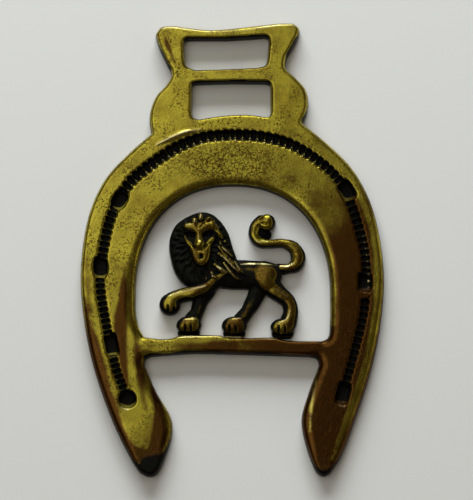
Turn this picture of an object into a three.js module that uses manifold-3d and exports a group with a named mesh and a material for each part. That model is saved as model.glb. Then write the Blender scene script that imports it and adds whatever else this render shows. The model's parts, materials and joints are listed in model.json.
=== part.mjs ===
// A cast horse brass: a horseshoe with a strap hanger at its crown, and a lion that walks on a bar
// across it. The whole brass is one casting, so it is one solid.
// Millimetres, +Z up. The flat back lies on Z = 0, the hanger points along +Y, the lion faces -X.
import * as THREE from 'three';
import { mergeVertices } from 'three/addons/utils/BufferGeometryUtils.js';
import Module from 'manifold-3d';

const wasm = await Module();
wasm.setup();

// ---------------------------------------------------------------- driving dimensions

const PLATE_TOP = 3.0;          // thickness of horseshoe, bar and hanger
const BELOW = -1.0;             // every form starts this far under the back, which is trimmed last
const ABOVE = 5.5;              // cutters end here, clear of the highest relief
const CURVE_STEP = 0.25;        // spacing of the points that a smooth stretch is measured with
const CURVE_ERROR = 0.06;       // how far a facet may stray from its curve
const MEETING = 0.05;           // share of an edge that is left where an inset closes it up

const EDGE_DRAFT = 0.22;        // lean of the cast walls over their height
const EDGE_ROUND = 0.85;        // width of the rounding at an ordinary outer edge
const LEG_ROUND = 1.9;          // the same on the legs, where the rounding is broad
const TIP_ROUND = 0.6;          // the same at the two heel tips, which are narrow
const WINDOW_ROUND = 1.0;       // rounding inside the crown of the window
const ARM_ROUND = 2.3;          // rounding inside the left arm
const SLOT_ROUND = 0.45;        // worn edge of the strap slots

const GROOVE_DEPTH = 1.15;      // fullering groove, at the bottom between two ridges
const RIDGE_HEIGHT = 0.6;       // a ridge rises this far from the bottom of the groove
const RIDGE_SCALLOP = 0.22;     // how far a ridge narrows the groove at each edge
const NAIL_DEPTH = 1.6;         // nail recesses

const LION_BODY = 2.7;          // heights of the relief over the back
const LION_LEG = 2.8;
const LION_HAUNCH = 3.3;
const LION_MANE = 3.0;
const LION_FACE = 3.7;
const LION_TAIL = 2.5;
const LION_WEB = 1.3;           // thin metal left between close forms

// ---------------------------------------------------------------- curves and outlines

// A smooth open or closed stretch through a few points, with only the points it needs.
function smooth(points, closed = false) {
  const knots = points.map(([x, y]) => new THREE.Vector3(x, y, 0));
  const curve = new THREE.CatmullRomCurve3(knots, closed, 'centripetal');
  const steps = Math.ceil(curve.getLength() / CURVE_STEP);
  const fine = curve.getSpacedPoints(steps).map((p) => new THREE.Vector2(p.x, p.y));
  return thin(fine, CURVE_ERROR);
}

// Drops the points that lie nearer than the error to the straight line between their neighbours.
function thin(points, error) {
  const first = points[0];
  const last = points[points.length - 1];
  const chord = last.clone().sub(first);
  let farthest = 0;
  let split = 0;
  for (let i = 1; i < points.length - 1; i += 1) {
    const reach = points[i].clone().sub(first);
    const away = chord.length() > 1e-6 ? Math.abs(chord.cross(reach)) / chord.length() : reach.length();
    if (away > farthest) {
      farthest = away;
      split = i;
    }
  }
  if (farthest <= error) {
    return [first, last];
  }
  return [...thin(points.slice(0, split + 1), error), ...thin(points.slice(split), error).slice(1)];
}

// Joins stretches that follow each other into one closed ring.
function ringOf(...stretches) {
  return stretches.flatMap((stretch) => stretch.slice(0, -1));
}

// One quarter of a superellipse, from one quadrant angle to the next.
function quarter(centre, reach, power, from) {
  const points = [];
  const steps = 60;
  for (let i = 0; i <= steps; i += 1) {
    const angle = from + (i / steps) * (Math.PI / 2);
    const c = Math.cos(angle);
    const s = Math.sin(angle);
    const x = centre.x + Math.sign(c) * reach.x * Math.abs(c) ** (2 / power);
    const y = centre.y + Math.sign(s) * reach.y * Math.abs(s) ** (2 / power);
    points.push(new THREE.Vector2(x, y));
  }
  return thin(points, CURVE_ERROR);
}

// Moves a counter-clockwise ring inwards by a distance that may change along it.
function inset(ring, distanceAt) {
  const moved = ring.map((point, i) => {
    const before = point.clone().sub(ring.at(i - 1)).normalize();
    const after = ring[(i + 1) % ring.length].clone().sub(point).normalize();
    const inwards = new THREE.Vector2(-before.y - after.y, before.x + after.x).normalize();
    const mitre = Math.max(0.6, inwards.x * -after.y + inwards.y * after.x);
    return point.clone().addScaledVector(inwards, distanceAt(point) / mitre);
  });
  // where a tight bend has turned an edge over, its two ends meet half way
  moved.forEach((point, i) => {
    const next = (i + 1) % ring.length;
    const edge = ring[next].clone().sub(ring[i]);
    if (moved[next].clone().sub(point).dot(edge) < 0) {
      const middle = point.clone().add(moved[next]).multiplyScalar(0.5);
      moved[i] = middle.clone().addScaledVector(edge, -MEETING);
      moved[next] = middle.clone().addScaledVector(edge, MEETING);
    }
  });
  return moved;
}

// ---------------------------------------------------------------- solids

// A closed mesh becomes a solid that can be joined and cut.
function solidOf(geometry) {
  geometry.deleteAttribute('normal');
  geometry.deleteAttribute('uv');
  const merged = mergeVertices(geometry, 1e-5);
  const vertProperties = new Float32Array(merged.attributes.position.array);
  const triVerts = new Uint32Array(merged.index.array);
  return new wasm.Manifold(new wasm.Mesh({ numProp: 3, vertProperties, triVerts }));
}

// The triangles that close a convex section.
function fan(ring) {
  return ring.slice(2).map((_, i) => [0, i + 1, i + 2]);
}

// The triangles that close an outline of any shape.
function lid(ring) {
  return THREE.ShapeUtils.triangulateShape(ring, []);
}

// Rings with equal numbers of points, one after the other, closed at both ends.
function stack(rings, closedBy) {
  const count = rings[0].length;
  const positions = rings.flatMap((ring) => ring.flatMap((p) => [p.x, p.y, p.z]));
  const faces = [];
  for (let level = 0; level < rings.length - 1; level += 1) {
    for (let i = 0; i < count; i += 1) {
      const low = level * count + i;
      const lowNext = level * count + ((i + 1) % count);
      faces.push(low, lowNext, lowNext + count, low, lowNext + count, low + count);
    }
  }
  const top = (rings.length - 1) * count;
  for (const [a, b, c] of closedBy(rings[0])) {
    faces.push(c, b, a);
  }
  for (const [a, b, c] of closedBy(rings[rings.length - 1])) {
    faces.push(top + a, top + b, top + c);
  }
  const geometry = new THREE.BufferGeometry();
  geometry.setAttribute('position', new THREE.Float32BufferAttribute(positions, 3));
  geometry.setIndex(faces);
  return solidOf(geometry);
}

// A plate cut to a counter-clockwise ring: levels give a height and the inset there.
function slab(ring, levels) {
  const rings = levels.map(([height, insetAt]) => (
    inset(ring, insetAt).map((p) => new THREE.Vector3(p.x, p.y, height))
  ));
  return stack(rings, lid);
}

// A low rounded mound on an oval base, with a wall that goes straight down to the back.
function mound(x, y, reachX, reachY, top, turn = 0) {
  const wall = top * 0.62;
  const profile = [new THREE.Vector2(0, BELOW), new THREE.Vector2(1, BELOW), new THREE.Vector2(0.97, wall)];
  for (const angle of [30, 60, 90]) {
    const lean = THREE.MathUtils.degToRad(angle);
    const across = angle === 90 ? 0 : Math.cos(lean) * 0.97;
    profile.push(new THREE.Vector2(across, wall + (top - wall) * Math.sin(lean)));
  }
  const geometry = new THREE.LatheGeometry(profile, 14);
  geometry.rotateX(Math.PI / 2);
  geometry.scale(reachX, reachY, 1);
  geometry.rotateZ(THREE.MathUtils.degToRad(turn));
  geometry.translate(x, y, 0);
  return solidOf(geometry);
}

// An egg-shaped lump or hollow, for small forms on top of others.
function egg(x, y, z, reachX, reachY, reachZ, turn = 0, around = 8) {
  const geometry = new THREE.SphereGeometry(1, around, around - 3);
  geometry.rotateX(Math.PI / 2);
  geometry.scale(reachX, reachY, reachZ);
  geometry.rotateZ(THREE.MathUtils.degToRad(turn));
  geometry.translate(x, y, z);
  return solidOf(geometry);
}

// A rounded limb along a path of [x, y, half width, top height] stations. Its sides go down to the
// back, and its upper part is rounded over the height of its crown.
const LIMB_SECTION = [[1, 0], [0.96, 0.05], [0.68, 0.75], [0, 1], [-0.68, 0.75], [-0.96, 0.05], [-1, 0]];
const LOCK_SECTION = [[1, 0], [0.8, 0.4], [0, 1], [-0.8, 0.4], [-1, 0]];

function limb(stations, { crown = 1.2, perSpan = 1, section = LIMB_SECTION } = {}) {
  const place = new THREE.CatmullRomCurve3(
    stations.map(([x, y]) => new THREE.Vector3(x, y, 0)), false, 'centripetal');
  const size = new THREE.CatmullRomCurve3(
    stations.map(([, , half, top]) => new THREE.Vector3(half, top, 0)), false, 'catmullrom', 0);
  const spans = (stations.length - 1) * perSpan;
  const posts = [];
  for (let i = 0; i <= spans; i += 1) {
    const along = place.getTangent(i / spans);
    const { x: half, y: top } = size.getPoint(i / spans);
    posts.push({ at: place.getPoint(i / spans), along, half, top });
  }
  // both ends are rounded in plan
  const ends = [roundedEnd(posts[0], -1), roundedEnd(posts[posts.length - 1], 1)];
  const sections = [ends[0], ...posts, ends[1]].map(({ at, along, half, top }) => (
    section.map(([across, rise], i) => {
      const side = across * half;
      const outer = i === 0 || i === section.length - 1;
      const height = outer ? BELOW : top - crown * (1 - rise);
      return new THREE.Vector3(at.x - along.y * side, at.y + along.x * side, height);
    })
  ));
  return stack(sections, fan);
}

function roundedEnd(post, direction) {
  const step = direction * post.half * 0.85;
  return {
    ...post,
    at: post.at.clone().addScaledVector(post.along, step),
    half: post.half * 0.5,
    top: post.top - 0.15,
  };
}

function join(solids) {
  return solids.reduce((whole, solid) => whole.add(solid));
}

const same = (width) => () => width;

// ---------------------------------------------------------------- horseshoe, hanger and bar

// The outer edge runs counter-clockwise from the right junction of hanger and shoe.
const hangerRight = smooth([
  [14.0, 25.25], [14.9, 27.3], [15.2, 29.6], [14.65, 32.1], [12.6, 34.5], [10.75, 36.3], [10.8, 37.9],
  [12.1, 40.4], [13.3, 42.8], [13.45, 44.3], [12.2, 45.5],
]);
const hangerTop = smooth([
  [12.2, 45.5], [9.1, 45.45], [5.0, 45.0], [-0.7, 44.35], [-4.6, 44.15], [-9.1, 44.6], [-11.8, 44.95],
  [-14.4, 44.6], [-15.5, 43.1],
]);
const hangerLeft = smooth([
  [-15.5, 43.1], [-14.7, 40.4], [-13.2, 37.1], [-12.3, 35.0], [-13.1, 33.2], [-15.3, 30.7],
  [-16.45, 27.8], [-16.6, 25.3], [-16.2, 23.2],
]);
const outerLeft = smooth([
  [-16.2, 23.2], [-20.4, 19.5], [-25.3, 14.15], [-28.4, 7.5], [-29.9, -0.7], [-30.1, -7.4],
  [-29.4, -14.2], [-27.7, -22.5], [-24.8, -31.2], [-22.0, -37.7], [-19.1, -43.0], [-18.1, -44.3],
]);
const heelLeft = smooth([
  [-18.1, -44.3], [-16.5, -45.0], [-14.9, -44.6], [-12.9, -40.6], [-11.65, -36.0], [-12.0, -33.1],
  [-14.8, -28.2], [-17.1, -22.9],
]);
const notchLeft = smooth([[-17.1, -22.9], [-17.0, -21.9], [-15.9, -21.35]]);
const barUnder = smooth([[-15.9, -21.35], [-7.6, -20.75], [0, -20.9], [8.0, -21.15], [15.2, -21.4]]);
const notchRight = smooth([[15.2, -21.4], [16.5, -21.8], [16.9, -22.9]]);
const heelRight = smooth([
  [16.9, -22.9], [14.9, -28.2], [13.5, -33.1], [13.7, -36.2], [15.5, -42.3], [16.7, -44.4],
  [17.9, -44.95], [19.2, -44.4],
]);
const outerRight = smooth([
  [19.2, -44.4], [21.4, -41.0], [24.4, -33.1], [27.1, -25.1], [29.2, -15.9], [30.1, -6.0],
  [29.2, 2.9], [27.3, 9.9], [23.8, 16.25], [18.25, 21.8], [14.0, 25.25],
]);
const edge = ringOf(
  hangerRight, hangerTop, hangerLeft, outerLeft, heelLeft, notchLeft, barUnder, notchRight,
  heelRight, outerRight);

// The rounding is narrow on the hanger and grows broad down the legs.
function edgeRounding(point) {
  const share = THREE.MathUtils.smoothstep(-point.y, 4, 24);
  const onBar = Math.abs(point.x) < 16 && point.y > -24 && point.y < -20;
  const atTip = THREE.MathUtils.smoothstep(-point.y, 36, 44);
  const broad = THREE.MathUtils.lerp(EDGE_ROUND, LEG_ROUND, share);
  return onBar ? EDGE_ROUND * 0.7 : THREE.MathUtils.lerp(broad, TIP_ROUND, atTip);
}

// A rounded edge as levels of a slab: a leaning wall, then two steps over the shoulder.
function roundedLevels(draft, roundingAt, top) {
  return [
    [BELOW, same(0)],
    [top * 0.62, same(draft)],
    [top * 0.9, (p) => draft + 0.25 * roundingAt(p)],
    [top, (p) => draft + roundingAt(p)],
  ];
}

const blank = slab(edge, roundedLevels(EDGE_DRAFT, edgeRounding, PLATE_TOP));

// A through opening: straight at the bottom, opening out over a worn upper edge.
function opening(ring, draft, roundingAt) {
  const out = (distanceAt) => (p) => -distanceAt(p);
  return slab(ring, [
    [BELOW * 2, same(0)],
    [PLATE_TOP * 0.6, out(same(draft))],
    [PLATE_TOP * 0.9, out((p) => draft + 0.3 * roundingAt(p))],
    [PLATE_TOP + 0.02, out((p) => draft + 1.05 * roundingAt(p))],
    [ABOVE, out((p) => draft + 1.1 * roundingAt(p))],
  ]);
}

// The window is an arch over the bar; the bar's upper edge dips where the lion does not stand.
const ARCH = { centre: new THREE.Vector2(0.1, -9.0), reach: new THREE.Vector2(19.05, 21.6), power: 2.25 };
const archRight = quarter(ARCH.centre, ARCH.reach, ARCH.power, 0);
const archLeft = quarter(ARCH.centre, ARCH.reach, ARCH.power, Math.PI / 2);
const jambLeft = smooth([[-18.95, -9.0], [-18.9, -12.6], [-18.2, -15.6], [-17.3, -17.2]]);
const barTop = smooth([
  [-17.3, -17.2], [-14.2, -17.6], [-12.2, -17.5], [-10.6, -17.0], [-7.0, -16.85], [-2.4, -16.9],
  [-1.2, -17.3], [3.0, -17.4], [7.6, -17.3], [10.9, -17.9], [17.6, -18.0],
]);
const jambRight = smooth([[17.6, -18.0], [18.7, -17.4], [19.1, -14.5], [19.15, -9.0]]);
const windowRing = ringOf(archRight, archLeft, jambLeft, barTop, jambRight);

function windowRounding(point) {
  const onBar = point.y < -16.8 && Math.abs(point.x) < 17.0;
  const begins = THREE.MathUtils.smoothstep(-point.y, -4, 8);
  const ends = 1 - THREE.MathUtils.smoothstep(-point.y, 13, 17.5);
  const leftArm = THREE.MathUtils.smoothstep(-point.x, 12, 18) * begins * ends;
  const rightArm = THREE.MathUtils.smoothstep(point.x, 12, 18) * 0.4;
  return onBar ? 0.5 : WINDOW_ROUND * (1 + rightArm) + (ARM_ROUND - WINDOW_ROUND) * leftArm;
}

const upperSlot = ringOf(
  smooth([[7.2, 41.5], [7.05, 42.25], [6.3, 42.5]]),
  smooth([[6.3, 42.5], [2.2, 42.2], [-1.2, 42.0]]),
  smooth([[-1.2, 42.0], [-8.6, 42.0]]),
  smooth([[-8.6, 42.0], [-9.4, 41.7], [-9.6, 41.0]]),
  smooth([[-9.6, 41.0], [-9.5, 38.2]]),
  smooth([[-9.5, 38.2], [-9.1, 36.7], [-7.4, 35.9]]),
  smooth([[-7.4, 35.9], [-1.0, 36.1], [5.0, 36.4]]),
  smooth([[5.0, 36.4], [6.5, 36.9], [6.9, 38.1]]),
  smooth([[6.9, 38.1], [7.2, 41.5]]));
const lowerSlot = ringOf(
  smooth([[7.55, 32.2], [7.3, 33.0], [6.5, 33.25]]),
  smooth([[6.5, 33.25], [0, 33.3], [-7.0, 33.1]]),
  smooth([[-7.0, 33.1], [-7.8, 32.9], [-8.0, 32.1]]),
  smooth([[-8.0, 32.1], [-8.05, 27.6]]),
  smooth([[-8.05, 27.6], [-7.75, 26.4], [-6.8, 25.95]]),
  smooth([[-6.8, 25.95], [-3.6, 26.5], [0.2, 26.9], [3.6, 26.9], [6.3, 26.5]]),
  smooth([[6.3, 26.5], [7.25, 26.6], [7.55, 27.4]]),
  smooth([[7.55, 27.4], [7.55, 32.2]]));

const openings = [
  opening(windowRing, EDGE_DRAFT, windowRounding),
  opening(upperSlot, 0, same(SLOT_ROUND)),
  opening(lowerSlot, 0, same(SLOT_ROUND)),
];

// ---------------------------------------------------------------- groove and nail recesses

// Each arm's groove is a line of [x, y, half width, ridge pitch] from the crown to the heel.
const grooveLeft = [
  [0.2, 22.7, 1.15, 1.48], [-5.3, 22.2, 1.15, 1.48], [-10, 20.6, 1.25, 1.45], [-14, 18.2, 1.2, 1.4],
  [-17.4, 15.7, 1.2, 1.35], [-20.5, 12.8, 1.15, 1.3], [-23.9, 6.5, 1.1, 1.25], [-25.5, -0.4, 1.05, 1.2],
  [-26.1, -7.0, 1.0, 1.2], [-24.9, -14.8, 0.95, 1.15], [-22.9, -23.6, 0.9, 1.1], [-21.1, -28.8, 0.9, 1.1],
];
const grooveRight = [
  [-0.2, 22.7, 1.15, 1.48], [4.3, 22.45, 1.15, 1.48], [8.5, 21.75, 1.15, 1.45], [11.9, 20.6, 1.1, 1.4],
  [17.2, 17.3, 1.05, 1.35], [21.0, 13.6, 1.0, 1.3], [23.7, 8.0, 1.0, 1.28], [25.2, 3.0, 1.0, 1.25],
  [26.2, -2.0, 0.95, 1.25], [26.1, -10.5, 0.9, 1.25], [25.1, -16.0, 0.85, 1.28], [23.4, -22.5, 0.85, 1.29],
  [21.9, -27.6, 0.85, 1.29],
];

// The cutter has a zigzag floor, so it leaves a ridge across the groove at every pitch.
function grooveCutter(line) {
  const place = new THREE.CatmullRomCurve3(
    line.map(([x, y]) => new THREE.Vector3(x, y, 0)), false, 'centripetal');
  const size = new THREE.CatmullRomCurve3(
    line.map(([, , half, pitch]) => new THREE.Vector3(half, pitch, 0)), false, 'catmullrom', 0);
  const length = place.getLength();
  const sections = [];
  let travelled = 0;
  for (let step = 0; travelled < length; step += 1) {
    const at = place.getPointAt(travelled / length);
    const along = place.getTangentAt(travelled / length);
    const { x: half, y: pitch } = size.getPoint(place.getUtoTmapping(travelled / length));
    const ridge = step % 2;
    const floor = PLATE_TOP - GROOVE_DEPTH + RIDGE_HEIGHT * ridge;
    const rim = half - RIDGE_SCALLOP * ridge;
    sections.push([[-rim, ABOVE], [-rim, PLATE_TOP], [-rim * 0.8, floor], [rim * 0.8, floor],
      [rim, PLATE_TOP], [rim, ABOVE]].map(([side, height]) => (
      new THREE.Vector3(at.x - along.y * side, at.y + along.x * side, height)
    )));
    travelled += pitch / 2;
  }
  return stack(sections, fan);
}

// A nail recess: a rounded block along the groove, [x, y, width, length, turn, squareness].
const nails = [
  [-22.3, 9.7, 3.1, 4.4, -28, 2.6],
  [-26.0, -3.7, 3.1, 4.8, 1, 2.4],
  [-23.8, -19.0, 2.7, 4.8, 12, 4.5],
  [-20.6, -29.7, 3.7, 3.7, 0, 2],
  [22.6, 11.6, 3.0, 4.4, 32, 3.5],
  [26.1, -6.6, 2.9, 3.8, 0, 5],
  [21.7, -28.6, 2.8, 4.6, -14, 4.5],
];

function nailCutter([x, y, width, length, turn, power]) {
  const start = new THREE.Vector2(0, 0);
  const reach = new THREE.Vector2(width / 2, length / 2);
  const outline = ringOf(...[0, 1, 2, 3].map((n) => quarter(start, reach, power, n * Math.PI / 2)));
  const about = THREE.MathUtils.degToRad(turn);
  const level = (height, scale) => outline.map((p) => {
    const placed = p.clone().multiplyScalar(scale).rotateAround(start, about);
    return new THREE.Vector3(placed.x + x, placed.y + y, height);
  });
  return stack([
    level(PLATE_TOP - NAIL_DEPTH, 0.55),
    level(PLATE_TOP - NAIL_DEPTH * 0.8, 0.82),
    level(PLATE_TOP, 1),
    level(ABOVE, 1),
  ], lid);
}

// A smooth stretch without ridges lies below the middle nail recess of the right arm.
const bridgeRight = mound(26.0, -9.25, 1.2, 0.75, PLATE_TOP);

// A low cast lip stands just outside the groove, left of the crown.
const lip = limb([
  [-15.0, 20.8, 0.3, 3.05], [-12.4, 22.0, 0.45, 3.3], [-9.6, 23.15, 0.45, 3.3], [-6.4, 23.75, 0.3, 3.05],
], { crown: 0.4, section: LOCK_SECTION });

// ---------------------------------------------------------------- lion

const maneRing = ringOf(smooth([
  [-6.2, 7.44], [-8.6, 6.7], [-11.2, 4.9], [-12.3, 2.7], [-12.55, 0.5], [-12.2, -2.0], [-11.3, -4.8],
  [-9.6, -6.9], [-7.0, -7.7], [-3.6, -7.2], [-0.6, -5.9], [1.2, -4.0], [0.9, -1.9], [0.1, 0.4],
  [-0.8, 3.3], [-2.2, 5.5], [-4.2, 7.1],
], true));

const mane = slab(maneRing, [
  [BELOW, same(0)],
  [LION_MANE * 0.55, same(0.15)],
  [LION_MANE * 0.85, same(0.45)],
  [LION_MANE, same(1.3)],
]);

const body = [
  limb([
    [-3.4, -5.4, 2.6, 2.7], [0.5, -4.95, 2.95, LION_BODY], [4.5, -5.05, 2.9, LION_BODY],
    [7.2, -5.1, 2.6, 3.0],
  ]),
  mound(6.6, -5.1, 2.2, 2.8, LION_HAUNCH, -12),
];

const paws = [
  { at: [-12.35, -10.9], reach: [2.1, 2.15], top: 3.0, toes: [[-12.7, -12.0], [-11.6, -12.0]] },
  { at: [-8.6, -15.0], reach: [2.55, 1.75], top: 3.0, toes: [[-9.3, -15.8], [-8.2, -15.8]] },
  { at: [0.35, -15.1], reach: [2.55, 1.85], top: 2.9, toes: [[-0.6, -15.9], [0.6, -15.9]] },
  { at: [9.9, -15.3], reach: [2.5, 1.65], top: 2.9, toes: [[9.1, -16.0], [10.3, -16.0]] },
];

const raisedForeleg = [
  [-4.2, -6.9, 1.9, 2.9], [-7.4, -8.4, 1.6, 3.0], [-10.2, -9.25, 1.45, LION_LEG],
  [-12.0, -10.0, 1.5, LION_LEG],
];
const standingForeleg = [
  [-5.2, -7.6, 2.1, 2.4], [-6.4, -10.4, 1.5, 2.4], [-7.05, -12.4, 1.4, 2.4], [-7.9, -13.8, 1.7, 2.6],
];
const innerHindLeg = [
  [5.4, -7.2, 1.9, 2.3], [4.1, -10.2, 1.7, 2.3], [2.9, -12.2, 1.4, 2.3], [1.6, -13.9, 1.6, 2.5],
];
const outerHindLeg = [
  [7.1, -6.2, 2.2, 3.1], [8.0, -7.8, 2.0, 3.0], [9.3, -9.2, 1.7, 2.9], [10.8, -10.4, 1.5, LION_LEG],
  [11.4, -12.2, 1.5, LION_LEG], [10.9, -14.2, 1.75, LION_LEG],
];

const legs = [
  limb(raisedForeleg),
  limb(standingForeleg),
  limb(innerHindLeg),
  limb(outerHindLeg),
  ...paws.map(({ at: [x, y], reach: [a, b], top }) => mound(x, y, a, b, top)),
  // thin metal ties the three standing paws to the bar
  ...paws.slice(1).map(({ at: [x], reach: [a] }) => limb(
    [[x - a * 0.4, -16.5, 1.2, LION_WEB], [x + a * 0.4, -16.5, 1.2, LION_WEB]],
    { crown: 0.3, section: LOCK_SECTION })),
];

const toeCuts = paws.flatMap(({ toes, top }) => (
  toes.map(([x, y]) => egg(x, y, top - 0.1, 0.28, 0.95, 0.75, 0, 6))));

const tailPath = [
  [9.0, -3.9, 1.15, LION_TAIL], [11.0, -3.75, 1.0, LION_TAIL], [12.5, -3.0, 1.35, LION_TAIL],
  [13.0, -1.4, 1.5, LION_TAIL], [12.2, 0.35, 1.25, LION_TAIL], [10.0, 1.3, 0.9, LION_TAIL],
  [7.4, 1.2, 0.85, LION_TAIL], [5.3, 1.5, 1.0, LION_TAIL], [4.2, 2.9, 1.0, LION_TAIL],
  [4.6, 4.7, 1.15, LION_TAIL], [5.6, 5.7, 1.2, 2.7],
];
const tail = [
  limb(tailPath, { perSpan: 2 }),
  mound(6.8, 5.4, 1.75, 1.65, 3.1),
  mound(6.0, 3.1, 1.8, 1.3, LION_WEB),
];
const tuftCurl = egg(6.3, 5.0, 3.0, 0.7, 0.25, 0.5, -10);

// Locks of the mane fan out from the face to the rim of the mane.
const FACE = new THREE.Vector2(-6.4, 1.0);

function maneLock(angle) {
  const lean = THREE.MathUtils.degToRad(angle);
  const outwards = new THREE.Vector2(Math.cos(lean), Math.sin(lean));
  const rim = rimDistance(outwards);
  const at = FACE.clone().addScaledVector(outwards, rim * 0.72);
  return egg(at.x, at.y, LION_MANE - 0.12, rim * 0.22, 0.6, 0.5, angle, 7);
}

// How far the mane reaches from the face in one direction.
function rimDistance(outwards) {
  const within = maneRing.map((point) => point.clone().sub(FACE)).filter((p) => p.angleTo(outwards) < 0.35);
  return Math.max(...within.map((p) => p.dot(outwards)));
}

const maneLocks = [];
for (let angle = 12; angle <= 252; angle += 16) {
  maneLocks.push(maneLock(angle));
}

// Longer locks fall from the right of the face over the neck and chest.
const longLocks = [
  [[-5.6, -4.2, 0.45, 3.3], [-5.3, -6.1, 0.5, 3.2]],
  [[-4.6, -4.0, 0.45, 3.4], [-3.9, -5.5, 0.5, 3.2]],
  [[-3.3, -3.6, 0.55, 3.5], [-1.7, -4.6, 0.5, 3.3]],
  [[-2.5, 0.6, 0.5, 3.5], [-1.3, -0.5, 0.5, 3.4], [-0.2, -1.7, 0.45, 3.3]],
  [[-2.4, -1.4, 0.55, 3.5], [-1.4, -2.4, 0.5, 3.4], [-0.5, -3.8, 0.5, 3.3]],
  [[-0.2, -2.6, 0.5, 3.4], [0.8, -4.3, 0.5, 3.2]],
  [[-0.8, -5.1, 0.5, 3.2], [0.6, -5.6, 0.5, 3.1]],
].map((stations) => limb(stations, { crown: 0.55, section: LOCK_SECTION }));

// The face is a blunt wedge from the brow down to the chin.
const faceRing = ringOf(smooth([
  [-6.2, 5.6], [-8.2, 5.4], [-9.6, 4.3], [-9.5, 2.6], [-8.5, 0.2], [-8.1, -1.4], [-7.3, -2.8],
  [-6.2, -3.3], [-5.1, -2.7], [-4.5, -1.2], [-4.2, 0.2], [-3.0, 2.4], [-2.7, 4.1], [-4.2, 5.3],
], true));
const brow = { crown: 0.6, section: LOCK_SECTION };

const face = [
  slab(faceRing, [[BELOW, same(0)], [LION_FACE - 0.45, same(0.1)], [LION_FACE, same(0.7)]]),
  limb([[-9.2, 4.3, 0.55, 4.2], [-8.2, 4.35, 0.6, 4.3], [-6.9, 3.6, 0.5, 4.4]], brow),
  limb([[-6.1, 3.8, 0.5, 4.4], [-4.7, 4.6, 0.6, 4.3], [-3.2, 3.9, 0.5, 4.0]], brow),
  // nose, from the brows down to its bulb
  limb([[-6.5, 4.0, 0.6, 4.4], [-6.55, 1.6, 0.6, 4.5]], brow),
  egg(-6.55, 0.75, 3.8, 1.05, 0.95, 0.95),
  // cheeks
  egg(-8.75, 1.3, 3.4, 0.5, 0.95, 0.6, 25),
  egg(-4.2, 1.35, 3.4, 0.55, 0.95, 0.6, -30),
  // muzzle
  egg(-6.25, -1.5, 3.3, 1.6, 1.6, 1.05),
  // tufts on the forehead
  egg(-6.25, 6.2, 3.3, 0.55, 0.8, 0.65),
  egg(-7.4, 5.4, 3.5, 0.55, 0.75, 0.65, 15),
  egg(-4.8, 5.75, 3.4, 1.0, 0.45, 0.65, -15),
];
const faceHollows = [
  egg(-8.4, 2.65, 4.0, 1.0, 0.65, 1.0, -8),
  egg(-4.65, 2.75, 4.0, 1.1, 0.65, 1.0, 8),
  egg(-6.1, -1.75, 4.3, 0.42, 0.5, 0.6, 0, 6),
  egg(-7.5, -0.2, 4.2, 0.75, 0.22, 0.6, -25, 6),
  egg(-5.5, -0.15, 4.2, 0.75, 0.22, 0.6, 25, 6),
];

function build() {
  let cast = blank;
  for (const cut of openings) {
    cast = cast.subtract(cut);
  }
  cast = cast.subtract(grooveCutter(grooveLeft)).subtract(grooveCutter(grooveRight));
  cast = join([cast, bridgeRight, lip, mane, ...maneLocks, ...body, ...legs, ...tail, ...longLocks, ...face]);
  for (const cut of [...nails.map(nailCutter), ...toeCuts, tuftCurl, ...faceHollows]) {
    cast = cast.subtract(cut);
  }
  // the back is ground flat
  const under = new THREE.BoxGeometry(200, 200, 20);
  under.translate(0, 0, -10);
  return cast.subtract(solidOf(under));
}

function geometryOf(solid) {
  const { vertProperties, triVerts } = solid.getMesh();
  const geometry = new THREE.BufferGeometry();
  geometry.setAttribute('position', new THREE.BufferAttribute(new Float32Array(vertProperties), 3));
  geometry.setIndex(new THREE.BufferAttribute(new Uint32Array(triVerts), 1));
  geometry.computeVertexNormals();
  return geometry;
}

// ---------------------------------------------------------------- the part

const agedBrass = new THREE.MeshStandardMaterial({ color: 0x7a5f1e, roughness: 0.34, metalness: 1.0 });
const brass = new THREE.Mesh(geometryOf(build()), agedBrass);
brass.name = 'horse_brass';

const part = new THREE.Group();
part.add(brass);

export default part;
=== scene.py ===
# %% [markdown]
# # A cast horse brass
# A horse brass is a small pendant that hangs on a harness strap. This one is a horseshoe with a
# strap hanger at its crown and a lion that walks on a bar across the opening. It was cast in one
# piece in sand, so it is one closed mesh here: a flat back, leaning walls, and a relief on top.
# The first cell loads the fixed frame, and keeps its box.

# %% Load the frame
import json
import math

import bpy
import numpy as np
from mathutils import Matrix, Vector

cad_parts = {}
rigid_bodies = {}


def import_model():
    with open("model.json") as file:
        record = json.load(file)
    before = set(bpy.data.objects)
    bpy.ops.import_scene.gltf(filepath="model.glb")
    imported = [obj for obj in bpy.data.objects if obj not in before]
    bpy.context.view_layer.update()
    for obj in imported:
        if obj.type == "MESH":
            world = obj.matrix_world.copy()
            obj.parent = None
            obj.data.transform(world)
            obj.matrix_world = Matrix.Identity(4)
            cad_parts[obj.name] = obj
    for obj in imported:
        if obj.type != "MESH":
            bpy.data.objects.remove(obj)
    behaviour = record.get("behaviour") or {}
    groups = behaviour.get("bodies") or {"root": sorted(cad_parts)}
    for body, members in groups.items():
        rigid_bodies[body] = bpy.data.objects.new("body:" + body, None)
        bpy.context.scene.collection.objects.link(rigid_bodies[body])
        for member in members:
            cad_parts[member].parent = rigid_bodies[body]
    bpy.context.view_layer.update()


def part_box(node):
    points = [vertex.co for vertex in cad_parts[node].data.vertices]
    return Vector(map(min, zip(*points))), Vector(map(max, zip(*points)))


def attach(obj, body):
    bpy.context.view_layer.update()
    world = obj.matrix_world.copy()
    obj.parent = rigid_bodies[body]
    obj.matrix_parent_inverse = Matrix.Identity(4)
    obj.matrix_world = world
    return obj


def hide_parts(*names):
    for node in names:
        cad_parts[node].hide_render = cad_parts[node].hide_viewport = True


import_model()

brass_low, brass_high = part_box("horse_brass")
MM = 0.001
print("the brass is", [round((b - a) / MM, 1) for a, b in zip(brass_low, brass_high)], "mm")

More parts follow.
